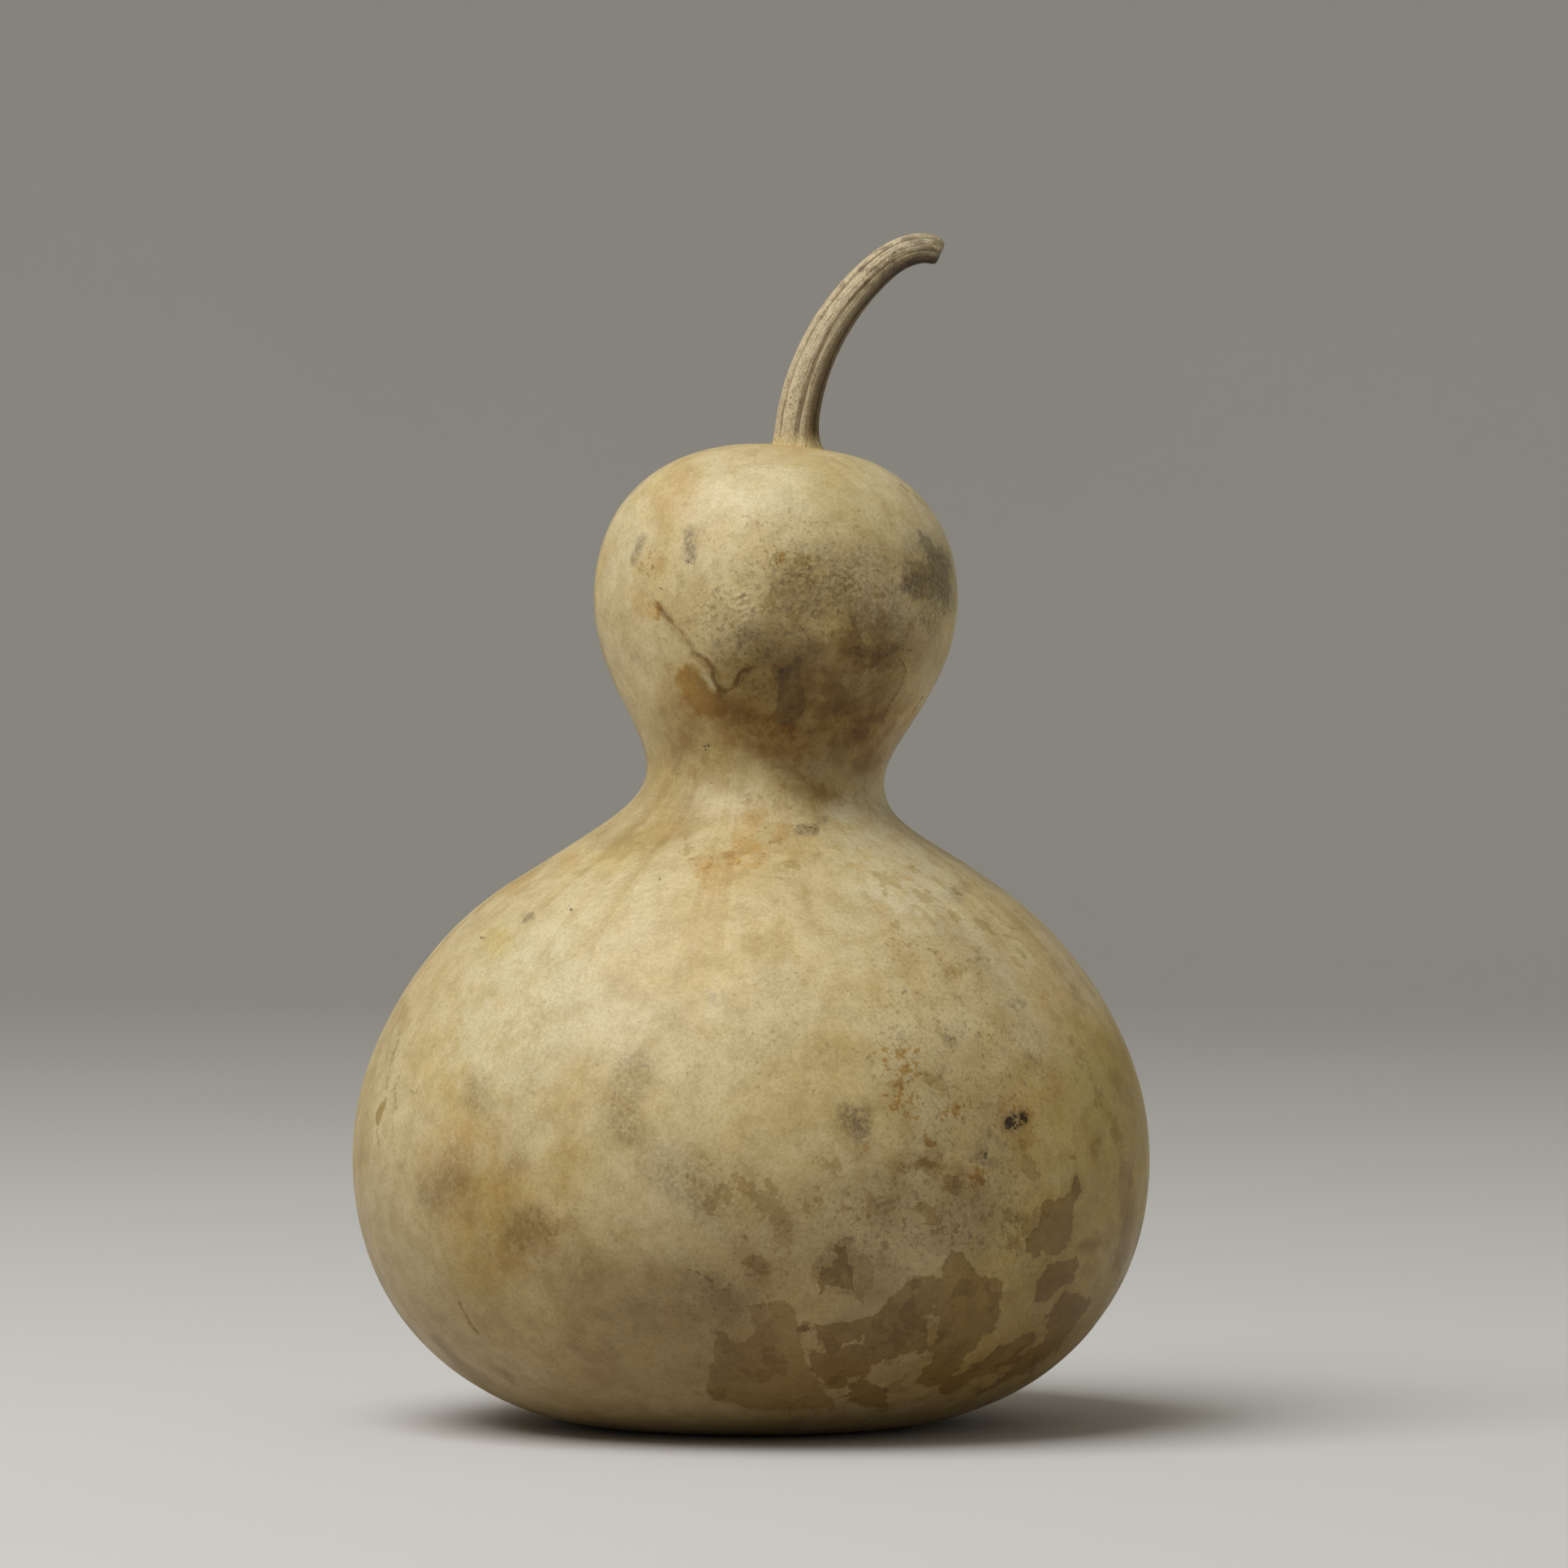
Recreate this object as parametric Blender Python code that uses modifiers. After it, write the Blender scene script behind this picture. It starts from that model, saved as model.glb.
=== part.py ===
"""A dried bottle gourd: one hard-shelled fruit with two lobes, and the curved ribbed stem on its crown.

Metres, +Z up. The origin is on the resting surface, under the middle of the lower lobe.
The neck leans, and the stem curls, towards +X.
"""

from math import cos, exp, pi, radians, sin

import bmesh
import bpy
from mathutils import Vector

# Driving dimensions of the fruit
BODY_HEIGHT = 0.2297
HEAD_RADIUS = 0.0429
HEAD_HEIGHT = 0.1929
WAIST_RADIUS = 0.0278
WAIST_HEIGHT = 0.1521
SHOULDER_RADIUS = 0.0583
SHOULDER_HEIGHT = 0.1256
BELLY_RADIUS = 0.0937
BELLY_HEIGHT = 0.0609

# The underside: a flat ring to rest on, round a shallow dimple at the blossom end
REST_OUTER_RADIUS = 0.033
REST_INNER_RADIUS = 0.024
DIMPLE_DEPTH = 0.0018

# Directions along the turned outline, which is drawn from the crown down to the base
OUTWARD = 0.0
DOWNWARD = -90.0
INWARD = 180.0
SHOULDER_SLOPE = -34.0

# The fruit isn't quite round: it is a little shallower from front to back
DEPTH_SHARE = 0.985

# The neck steps sideways, and it and the head lean: each sets in between two heights
NECK_SHIFT = 0.0034
SHIFT_FROM = 0.1245
SHIFT_TO = 0.1427
NECK_LEAN = radians(3.3)
LEAN_FROM = 0.1275
LEAN_TO = 0.1457

# The flat seat on the crown that the stem stands on, beside the fruit's own axis
SEAT_X = 0.0102
SEAT_HEIGHT = 0.2284
SEAT_TILT = radians(5.5)

# Driving dimensions of the stem, along its curved centre line
STEM_LENGTH = 0.0637
STEM_RADIUS = 0.0051
STEM_TAPER = 0.00165
TAPER_POWER = 1.3
FOOT_FLARE = 0.0009
FOOT_FLARE_REACH = 0.0016
TIP_FLARE = 0.0003
TIP_FLARE_REACH = 0.0015
TIP_ROUNDING = 0.0012

# How the stem turns: straight at the foot, then a steady bend, then a tighter curl at the tip
BEND_START = 0.0040
BEND_RATE = radians(985)
CURL_START = 0.0455
CURL_RATE = radians(300000)
STEM_TWIST = radians(14)

# Ribs along the stem
RIB_COUNT = 7
RIB_DEPTH_SHARE = 0.075
POINTS_PER_RIB = 6

# Fineness of the solids
TURN_STEPS = 60
PROFILE_RESOLUTION = 10
STEM_STEP = 0.0021
WALK_STEP = 0.0001

# Clearance between the two solids
GAP = 0.0003
MERGE_DISTANCE = 0.0001
WELD_DISTANCE = 0.000001
SHARP_ANGLE = radians(40)

RIND_COLOUR = (0.56, 0.44, 0.24, 1.0)
STEM_COLOUR = (0.29, 0.23, 0.15, 1.0)


def clear_scene():
    for obj in list(bpy.data.objects):
        bpy.data.objects.remove(obj, do_unlink=True)


def new_collection(name):
    collection = bpy.data.collections.new(name)
    bpy.context.scene.collection.children.link(collection)
    return collection


def new_material(name, colour, roughness):
    material = bpy.data.materials.new(name)
    material.use_nodes = True
    shader = material.node_tree.nodes["Principled BSDF"]
    shader.inputs["Base Color"].default_value = colour
    shader.inputs["Roughness"].default_value = roughness
    shader.inputs["Metallic"].default_value = 0.0
    return material


def ease(start, end, value):
    """0 before start, 1 after end, with a soft step between them."""
    share = min(max((value - start) / (end - start), 0.0), 1.0)
    return share * share * (3.0 - 2.0 * share)


def seat_normal():
    return Vector((sin(SEAT_TILT), 0.0, cos(SEAT_TILT)))


def outline_anchors():
    """The turned outline: radius, height, direction, and the reach of the handles before and after."""
    return (
        (0.0, BODY_HEIGHT, OUTWARD, 0.0, 0.0343),
        (HEAD_RADIUS, HEAD_HEIGHT, DOWNWARD, 0.0165, 0.0190),
        (WAIST_RADIUS, WAIST_HEIGHT, DOWNWARD, 0.0088, 0.0097),
        (SHOULDER_RADIUS, SHOULDER_HEIGHT, SHOULDER_SLOPE, 0.0252, 0.0208),
        (BELLY_RADIUS, BELLY_HEIGHT, DOWNWARD, 0.0295, 0.0391),
        (REST_OUTER_RADIUS, 0.0, INWARD, 0.0286, 0.0),
        (REST_INNER_RADIUS, 0.0, INWARD, 0.0, 0.0080),
        (0.0, DIMPLE_DEPTH, INWARD, 0.0100, 0.0),
    )


def outline_curve(collection):
    """The outline as a Bezier curve at +X, running from the crown down to the dimple."""
    anchors = outline_anchors()
    curve = bpy.data.curves.new("gourd_outline", "CURVE")
    curve.dimensions = "3D"
    spline = curve.splines.new("BEZIER")
    spline.resolution_u = PROFILE_RESOLUTION
    spline.bezier_points.add(len(anchors) - 1)
    for point, (radius, height, direction, before, after) in zip(spline.bezier_points, anchors):
        place = Vector((radius, 0.0, height))
        heading = Vector((cos(radians(direction)), 0.0, sin(radians(direction))))
        point.handle_left_type = "FREE"
        point.handle_right_type = "FREE"
        point.co = place
        point.handle_left = place - heading * before
        point.handle_right = place + heading * after
    # The ring that the fruit rests on is a straight, flat stretch of the outline
    rest_outer, rest_inner = spline.bezier_points[-3:-1]
    rest_outer.handle_right_type = "VECTOR"
    rest_inner.handle_left_type = "VECTOR"
    outline = bpy.data.objects.new("gourd_outline", curve)
    collection.objects.link(outline)
    return outline


def turned_mesh(outline, name):
    """The solid that the outline sweeps out in one turn, as a mesh."""
    turn = outline.modifiers.new("turn", "SCREW")
    turn.angle = 2.0 * pi
    turn.steps = TURN_STEPS
    turn.render_steps = TURN_STEPS
    turn.use_merge_vertices = True
    turn.merge_threshold = MERGE_DISTANCE
    turn.use_normal_calculate = False
    bpy.context.view_layer.update()
    graph = bpy.context.evaluated_depsgraph_get()
    mesh = bpy.data.meshes.new_from_object(outline.evaluated_get(graph))
    mesh.name = name
    bpy.data.objects.remove(outline, do_unlink=True)
    return mesh


def leaned(point):
    """Shifts and tilts what lies above the shoulder, so that the neck and head lean."""
    angle = NECK_LEAN * ease(LEAN_FROM, LEAN_TO, point.z)
    shift = NECK_SHIFT * ease(SHIFT_FROM, SHIFT_TO, point.z)
    above_waist = point.z - WAIST_HEIGHT
    x = point.x * cos(angle) + above_waist * sin(angle) + shift
    z = WAIST_HEIGHT + above_waist * cos(angle) - point.x * sin(angle)
    return Vector((x, point.y * DEPTH_SHARE, z))


def seated(point):
    """Lays on the plane of the stem's seat whatever would stand above it."""
    seat = Vector((SEAT_X, 0.0, SEAT_HEIGHT))
    above = (point - seat).dot(seat_normal())
    return point - seat_normal() * max(above, 0.0)


def build_gourd_body(collection, material):
    """The whole fruit as one solid: belly, neck, head, seat and dimpled base."""
    outline = outline_curve(collection)
    mesh = turned_mesh(outline, "gourd_body")
    for vertex in mesh.vertices:
        vertex.co = seated(leaned(vertex.co))
    mesh.shade_smooth()
    mesh.materials.clear()
    mesh.materials.append(material)
    body = bpy.data.objects.new("gourd_body", mesh)
    collection.objects.link(body)
    return body


def stem_direction(distance):
    """The angle from upright towards +X in which the stem runs, this far along it."""
    bend = BEND_RATE * max(distance - BEND_START, 0.0)
    curl = 0.5 * CURL_RATE * max(distance - CURL_START, 0.0) ** 2
    return SEAT_TILT + bend + curl


def stem_radius(distance):
    """The radius over the ribs: a slow taper, a flared foot, and a rounded, slightly swollen tip."""
    to_tip = STEM_LENGTH - distance
    radius = STEM_RADIUS - STEM_TAPER * (distance / STEM_LENGTH) ** TAPER_POWER
    radius += FOOT_FLARE * exp(-distance / FOOT_FLARE_REACH)
    radius += TIP_FLARE * exp(-to_tip / TIP_FLARE_REACH)
    if to_tip < TIP_ROUNDING:
        drop = 1.0 - to_tip / TIP_ROUNDING
        radius -= TIP_ROUNDING * (1.0 - (1.0 - drop * drop) ** 0.5)
    return radius


def stem_stations():
    """Distances along the stem: even steps, with closer ones at the foot and the tip."""
    foot = [0.0, 0.0006, 0.0014, 0.0026]
    tip = [0.0020, 0.0012, 0.0008, 0.0004, 0.00015, 0.0]
    first = foot[-1]
    last = STEM_LENGTH - tip[0]
    count = round((last - first) / STEM_STEP)
    middle = [first + (last - first) * i / count for i in range(1, count)]
    return foot + middle + [STEM_LENGTH - left for left in tip]


def stem_places(stations):
    """Points of the centre line at these distances, found by walking along it in short steps."""
    place = Vector((SEAT_X, 0.0, SEAT_HEIGHT)) + seat_normal() * GAP
    walked = 0.0
    places = []
    for station in stations:
        while walked < station - 1e-9:
            step = min(WALK_STEP, station - walked)
            angle = stem_direction(walked + 0.5 * step)
            place = place + Vector((sin(angle), 0.0, cos(angle))) * step
            walked += step
        places.append(place.copy())
    return places


def stem_section(collection):
    """The ribbed cross-section, as a closed guide curve of the stem's full radius."""
    count = RIB_COUNT * POINTS_PER_RIB
    curve = bpy.data.curves.new("stem_section", "CURVE")
    curve.dimensions = "2D"
    curve.fill_mode = "NONE"
    spline = curve.splines.new("POLY")
    spline.points.add(count - 1)
    for i, point in enumerate(spline.points):
        angle = 2.0 * pi * i / count
        rib = 0.5 + 0.5 * cos(RIB_COUNT * angle)
        radius = STEM_RADIUS * (1.0 - RIB_DEPTH_SHARE * (1.0 - rib))
        point.co = (radius * cos(angle), radius * sin(angle), 0.0, 1.0)
    spline.use_cyclic_u = True
    section = bpy.data.objects.new("stem_section", curve)
    section.hide_render = True
    section.display_type = "WIRE"
    collection.objects.link(section)
    return section


def stem_curve(collection, section):
    """A curve along the centre line that carries the ribbed section, with closed ends."""
    stations = stem_stations()
    curve = bpy.data.curves.new("stem", "CURVE")
    curve.dimensions = "3D"
    curve.bevel_mode = "OBJECT"
    curve.bevel_object = section
    curve.use_fill_caps = True
    curve.twist_mode = "MINIMUM"
    spline = curve.splines.new("POLY")
    spline.points.add(len(stations) - 1)
    for point, station, place in zip(spline.points, stations, stem_places(stations)):
        point.co = (place.x, place.y, place.z, 1.0)
        point.radius = stem_radius(station) / STEM_RADIUS
        point.tilt = STEM_TWIST * station / STEM_LENGTH
    centre_line = bpy.data.objects.new("stem_centre_line", curve)
    collection.objects.link(centre_line)
    return centre_line


def mesh_of_curve(curve_object, name):
    """The curve's solid as a mesh whose caps are welded to its sides. It takes the curve's place."""
    bpy.context.view_layer.update()
    graph = bpy.context.evaluated_depsgraph_get()
    mesh = bpy.data.meshes.new_from_object(curve_object.evaluated_get(graph))
    mesh.name = name
    shell = bmesh.new()
    shell.from_mesh(mesh)
    bmesh.ops.remove_doubles(shell, verts=shell.verts, dist=WELD_DISTANCE)
    bmesh.ops.recalc_face_normals(shell, faces=shell.faces)
    shell.to_mesh(mesh)
    shell.free()
    solid = bpy.data.objects.new(name, mesh)
    solid.matrix_world = curve_object.matrix_world
    bpy.data.objects.remove(curve_object, do_unlink=True)
    return solid


def build_stem(collection, guides, material):
    """The dried stem: a ribbed, tapering tube that bends over to one side."""
    section = stem_section(guides)
    stem = mesh_of_curve(stem_curve(guides, section), "stem")
    stem.data.materials.clear()
    stem.data.materials.append(material)
    stem.data.shade_smooth()
    stem.data.set_sharp_from_angle(angle=SHARP_ANGLE)
    collection.objects.link(stem)
    return stem


def main():
    clear_scene()
    parts = new_collection("dried_bottle_gourd")
    guides = new_collection("guides")
    rind = new_material("rind", RIND_COLOUR, 0.45)
    stem_bark = new_material("stem_bark", STEM_COLOUR, 0.75)
    build_gourd_body(parts, rind)
    build_stem(parts, guides, stem_bark)


main()
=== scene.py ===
# %% [markdown]
# # A dried bottle gourd
# The real thing is one hard, woody shell in the form of two lobes, with a dry ribbed stem on top.
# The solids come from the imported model, at their real size. This lesson grows a fine skin over
# each of them, stains and weathers it, and lights it in a plain pale studio.

# %% Load the solids
import random
from math import cos, degrees, exp, pi, radians, sin

import bmesh
import bpy
import numpy as np
from mathutils import Euler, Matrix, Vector, noise


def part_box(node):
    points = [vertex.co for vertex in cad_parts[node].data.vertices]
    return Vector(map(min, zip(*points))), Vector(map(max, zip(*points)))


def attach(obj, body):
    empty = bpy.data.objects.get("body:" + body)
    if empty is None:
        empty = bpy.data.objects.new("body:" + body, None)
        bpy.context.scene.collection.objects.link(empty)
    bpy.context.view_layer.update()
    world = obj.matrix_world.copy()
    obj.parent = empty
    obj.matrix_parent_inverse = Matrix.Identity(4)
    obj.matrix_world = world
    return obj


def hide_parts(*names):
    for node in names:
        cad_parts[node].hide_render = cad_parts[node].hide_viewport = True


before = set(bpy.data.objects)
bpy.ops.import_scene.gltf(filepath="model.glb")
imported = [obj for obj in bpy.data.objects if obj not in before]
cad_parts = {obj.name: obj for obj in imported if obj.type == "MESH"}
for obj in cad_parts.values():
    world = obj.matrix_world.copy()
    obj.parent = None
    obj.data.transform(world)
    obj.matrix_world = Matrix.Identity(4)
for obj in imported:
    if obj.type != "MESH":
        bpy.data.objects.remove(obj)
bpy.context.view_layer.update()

# %% [markdown]
# ## The camera
# It comes first, because marks on the rind are later placed by where they lie in the photograph.
# It stands two metres away at half the fruit's height and looks down by less than a degree. That
# far off, a long lens shows the gourd almost without perspective, as the photograph does.

# %% Stand the camera
PHOTO_SIDE = 1932
METRES_PER_PIXEL = 0.00019
CAMERA_PLACE = Vector((0.0077, -2.0, 0.1744))
CAMERA_DOWN = radians(0.708)
SENSOR_WIDTH = 36.0

camera_data = bpy.data.cameras.new("studio_camera")
camera_data.sensor_fit = "HORIZONTAL"
camera_data.sensor_width = SENSOR_WIDTH
camera_data.lens = SENSOR_WIDTH * -CAMERA_PLACE.y / (PHOTO_SIDE * METRES_PER_PIXEL)
camera_data.clip_end = 60.0
camera = bpy.data.objects.new("studio_camera", camera_data)
camera.location = CAMERA_PLACE
camera.rotation_euler = Euler((pi / 2.0 - CAMERA_DOWN, 0.0, 0.0))
bpy.context.scene.collection.objects.link(camera)
bpy.context.scene.camera = camera
bpy.context.view_layer.update()
print("lens in millimetres:", round(camera_data.lens, 1))

# %% [markdown]
# ## The studio
# A product photographer would use a sweep: a pale sheet that is flat under the object and curves
# up behind it, so that no horizon shows. This one is turned right round the gourd, as a wide
# dish, so that every other view has the same backdrop. It is seen through from outside.

# %% Turn the sweep
FLOOR_RADII = (0.0, 0.6, 1.4, 2.6)
COVE_RADIUS = 1.6
SWEEP_TOP = 4.2
COVE_STEPS = 12
SWEEP_STEPS = 96
SEAM_WELD = 0.0001


def linked(mesh, name):
    """A new object for this mesh, in the scene."""
    made = bpy.data.objects.new(name, mesh)
    bpy.context.scene.collection.objects.link(made)
    return made


def sweep_profile():
    """Radius and height along the sweep, from the middle of the floor to its upper edge."""
    cove = [(k + 1) / COVE_STEPS * pi / 2.0 for k in range(COVE_STEPS)]
    curve = [(FLOOR_RADII[-1] + COVE_RADIUS * sin(a), COVE_RADIUS * (1.0 - cos(a))) for a in cove]
    return [(radius, 0.0) for radius in FLOOR_RADII] + curve + [(curve[-1][0], SWEEP_TOP)]


def turned_sweep():
    """The profile turned once round the upright axis, with its faces looking inwards."""
    shell = bmesh.new()
    points = [shell.verts.new((radius, 0.0, height)) for radius, height in sweep_profile()]
    for low, high in zip(points, points[1:]):
        shell.edges.new((low, high))
    bmesh.ops.spin(shell, geom=shell.verts[:] + shell.edges[:], cent=(0, 0, 0), axis=(0, 0, 1),
                   angle=2.0 * pi, steps=SWEEP_STEPS, use_merge=True)
    bmesh.ops.remove_doubles(shell, verts=shell.verts, dist=SEAM_WELD)
    bmesh.ops.recalc_face_normals(shell, faces=shell.faces)
    middle = min(shell.faces, key=lambda face: face.calc_center_median().length)
    if middle.normal.z < 0.0:
        bmesh.ops.reverse_faces(shell, faces=shell.faces)
    mesh = bpy.data.meshes.new("studio_sweep")
    shell.to_mesh(mesh)
    shell.free()
    mesh.shade_smooth()
    return mesh


sweep = linked(turned_sweep(), "studio_sweep")
print("sweep faces:", len(sweep.data.polygons))

# %% [markdown]
# ## The light
# The main light is a large soft panel, high on the left and a little in front. It gives the broad
# satin glow on the left of both lobes, and leaves their right sides and the underside in shade.
# A dim even sky above the sweep fills the shadows.

# %% Hang the lights
KEY_PLACE, KEY_TARGET = (-0.87, -0.68, 2.04), (0.0, 0.0, 0.13)
KEY_SIZE, KEY_POWER = 1.8, 45.0
KEY_COLOUR = (1.0, 0.998, 0.995)
SKY_COLOUR = (1.0, 0.925, 0.75, 1.0)
SKY_STRENGTH = 0.28


def aim(thing, target):
    """Turns a light so that it shines at this point."""
    thing.rotation_euler = (Vector(target) - thing.location).to_track_quat("-Z", "Y").to_euler()


def hang_panel(name, place, target, size, power, colour):
    """A square soft panel: its size in metres, its power in watts."""
    light = bpy.data.lights.new(name, "AREA")
    light.shape = "SQUARE"
    light.size = size
    light.energy = power
    light.color = colour
    panel = bpy.data.objects.new(name, light)
    panel.location = place
    panel.visible_camera = False
    aim(panel, target)
    bpy.context.scene.collection.objects.link(panel)


hang_panel("key_panel", KEY_PLACE, KEY_TARGET, KEY_SIZE, KEY_POWER, KEY_COLOUR)

world = bpy.data.worlds.new("pale_sky")
bpy.context.scene.world = world
world.use_nodes = True
world.node_tree.nodes["Background"].inputs["Color"].default_value = SKY_COLOUR
world.node_tree.nodes["Background"].inputs["Strength"].default_value = SKY_STRENGTH
bpy.context.scene.view_settings.view_transform = "Standard"
distance = (Vector(KEY_PLACE) - Vector(KEY_TARGET)).length
print("the main panel hangs", round(distance, 2), "metres from the gourd")

# %% [markdown]
# ## The skin of the fruit
# The solid is a cage of long flat facets. Welding it, joining its triangles into quads and
# smoothing it with two rounds of subdivision gives a skin that follows the same form and stays
# just inside it. A sculptor would start in the same way.

# %% Smooth a solid into a skin
WELD_DISTANCE = 0.00001
SKIN_LEVELS = 2


def quad_cage(node):
    """The solid's mesh as a new one, welded and with its triangles joined into quads."""
    cage = bmesh.new()
    cage.from_mesh(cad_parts[node].data)
    bmesh.ops.remove_doubles(cage, verts=cage.verts, dist=WELD_DISTANCE)
    bmesh.ops.join_triangles(cage, faces=cage.faces, angle_face_threshold=pi, angle_shape_threshold=pi)
    mesh = bpy.data.meshes.new(node + "_cage")
    cage.to_mesh(mesh)
    cage.free()
    for attribute in [a.name for a in mesh.attributes if not a.is_required]:
        mesh.attributes.remove(mesh.attributes[attribute])
    mesh.shade_smooth()
    return mesh


def smoothed(mesh, levels):
    """The mesh after this many rounds of smooth subdivision."""
    cage = linked(mesh, "cage")
    subdivision = cage.modifiers.new("smooth", "SUBSURF")
    subdivision.levels = levels
    subdivision.render_levels = levels
    subdivision.use_limit_surface = False
    graph = bpy.context.evaluated_depsgraph_get()
    fine = bpy.data.meshes.new_from_object(cage.evaluated_get(graph))
    bpy.data.objects.remove(cage, do_unlink=True)
    return fine


cage_mesh = quad_cage("gourd_body")
print("cage: quads", sum(len(p.vertices) == 4 for p in cage_mesh.polygons), "of", len(cage_mesh.polygons))
skin_mesh = smoothed(cage_mesh, SKIN_LEVELS)
skin_mesh.name = "gourd_rind"
print("skin faces:", len(skin_mesh.polygons))

# %% [markdown]
# ## A turntable for marks
# The rind carries hundreds of small marks. The easiest ruler for them is the photograph itself, so
# every vertex of the skin is given its pixel there. The same ruler, with the gourd turned on a
# turntable, places the marks of the sides and the back. What it yields is stored on the vertices,
# so the marks sit on the rind from wherever it is seen.

# %% Read each vertex in photo pixels
CAMERA_AXES = np.array(camera.matrix_world.to_3x3())
FACING_FADE = 0.22


def eased(share):
    """0 below 0, 1 above 1, with a soft step between them. Takes numbers or arrays."""
    share = np.clip(share, 0.0, 1.0)
    return share * share * (3.0 - 2.0 * share)


def places_and_normals(mesh):
    """Every vertex's place and normal, as rows of three numbers."""
    places = np.empty(len(mesh.vertices) * 3, np.float32)
    normals = np.empty(len(mesh.vertices) * 3, np.float32)
    mesh.vertices.foreach_get("co", places)
    mesh.vertex_normals.foreach_get("vector", normals)
    return places.reshape(-1, 3).astype(float), normals.reshape(-1, 3).astype(float)


def turned(rows, azimuth):
    """The rows (x, y, z) after the turntable has turned them by this many degrees."""
    c, s = cos(radians(azimuth)), sin(radians(azimuth))
    return rows @ np.array(((c, s, 0.0), (-s, c, 0.0), (0.0, 0.0, 1.0)))


class Ruler:
    """Photo pixels of a mesh's vertices, with the gourd turned on a turntable, and how they face."""

    def __init__(self, mesh, azimuth=0.0):
        """Looks at every vertex as the camera would, with the gourd turned by this azimuth."""
        places, normals = places_and_normals(mesh)
        offset = turned(places, azimuth) - np.array(CAMERA_PLACE)
        local = offset @ CAMERA_AXES
        scale = PHOTO_SIDE * camera_data.lens / SENSOR_WIDTH
        across = PHOTO_SIDE / 2.0 - scale * local[:, 0] / local[:, 2]
        down = PHOTO_SIDE / 2.0 + scale * local[:, 1] / local[:, 2]
        self.pixels = np.stack((across, down), 1)
        to_camera = -offset / np.linalg.norm(offset, axis=1)[:, None]
        facing = (turned(normals, azimuth) * to_camera).sum(1)
        self.facing = eased(facing / FACING_FADE)


front = Ruler(skin_mesh)
span = [int(edge) for edge in (front.pixels[:, 0].min(), front.pixels[:, 0].max())]
print("the fruit spans these columns of the photograph:", span)

# %% [markdown]
# ## Distances to a mark
# A mark is drawn as a line or as a closed outline of pixels. All that is ever asked of it is how
# far a vertex lies from the line, or how deep inside the outline. Two short rulers answer that for
# all vertices at once.

# %% Measure the distance to a line and to an outline


def off_line(pixels, line):
    """Distance in pixels from each vertex to a line through these points, or to one point."""
    line = np.array(line, float).reshape(-1, 2)
    if len(line) == 1:
        return np.linalg.norm(pixels - line[0], axis=1)
    nearest = np.full(len(pixels), np.inf)
    for start, end in zip(line, line[1:]):
        run = end - start
        share = np.clip(((pixels - start) @ run) / (run @ run), 0.0, 1.0)
        gap = np.linalg.norm(pixels - start - share[:, None] * run, axis=1)
        nearest = np.minimum(nearest, gap)
    return nearest


def depth_in_outline(pixels, outline):
    """Distance in pixels to a closed outline: above 0 inside it, below 0 outside."""
    outline = np.array(outline, float)
    closed = np.vstack((outline, outline[:1]))
    inside = np.zeros(len(pixels), bool)
    x, y = pixels[:, 0], pixels[:, 1]
    for (x0, y0), (x1, y1) in zip(closed, closed[1:]):
        if y0 != y1:
            crosses = ((y0 > y) != (y1 > y)) & (x < (x1 - x0) * (y - y0) / (y1 - y0) + x0)
            inside ^= crosses
    return np.where(inside, 1.0, -1.0) * off_line(pixels, closed)


SQUARE = ((0, 0), (10, 0), (10, 10), (0, 10))
print("the middle of a ten pixel square lies", depth_in_outline(np.array([[5.0, 5.0]]), SQUARE)[0], "deep")

# %% [markdown]
# ## The marks of the front
# Two kinds of mark are enough. A soft one fades from its middle to its edge: a tint, a bloom of
# grey mould, a field of freckles, or painted shade and painted light where the fruit is shaded or lit.
# A sharp one has a border. Each soft mark is a line of places in the photograph's pixels, then how
# far it reaches from that line and how strong it is.

# %% List the soft marks
OCHRE_TINT = [
    (((846, 582), (838, 615), (812, 636)), 28, 0.42), (((806, 640), (784, 668), (770, 710)), 26, 0.25),
    (((804, 697),), 22, 0.45), (((786, 722), (788, 752)), 14, 0.5), (((805, 750),), 14, 0.7),
    (((872, 1073), (880, 1084)), 24, 0.8), (((910, 1058), (925, 1053)), 26, 0.9),
    (((961, 1025),), 17, 0.6), (((934, 1000), (912, 1030)), 18, 0.6), (((701, 1061),), 20, 0.45),
    (((763, 1132),), 22, 0.35), (((645, 1075), (632, 1090)), 18, 0.5),
    (((1256, 1357), (1285, 1326)), 40, 0.45), (((700, 1320), (702, 1400), (690, 1460)), 26, 0.3),
    (((1203, 1450),), 13, 0.9), (((928, 885), (955, 905), (983, 916)), 36, 0.85),
    (((833, 850), (845, 900)), 30, 0.45), (((1055, 893), (1090, 890), (1124, 878)), 24, 0.8),
    (((1075, 905), (1085, 930)), 34, 0.6), (((680, 1620), (730, 1690)), 46, 0.35),
    (((1251, 1365), (1263, 1400)), 28, 0.5), (((975, 560), (900, 556)), 24, 0.3),
    (((1283, 1206), (1318, 1265)), 34, 0.45), (((897, 875), (905, 900)), 30, 0.35),
    (((1246, 1384), (1260, 1378)), 22, 0.6), (((860, 880), (885, 900)), 30, 0.25),
    (((850, 1130), (930, 1120)), 70, 0.2), (((520, 1160), (480, 1230)), 40, 0.3),
    (((570, 1440), (630, 1520)), 90, 0.5),
]
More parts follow.
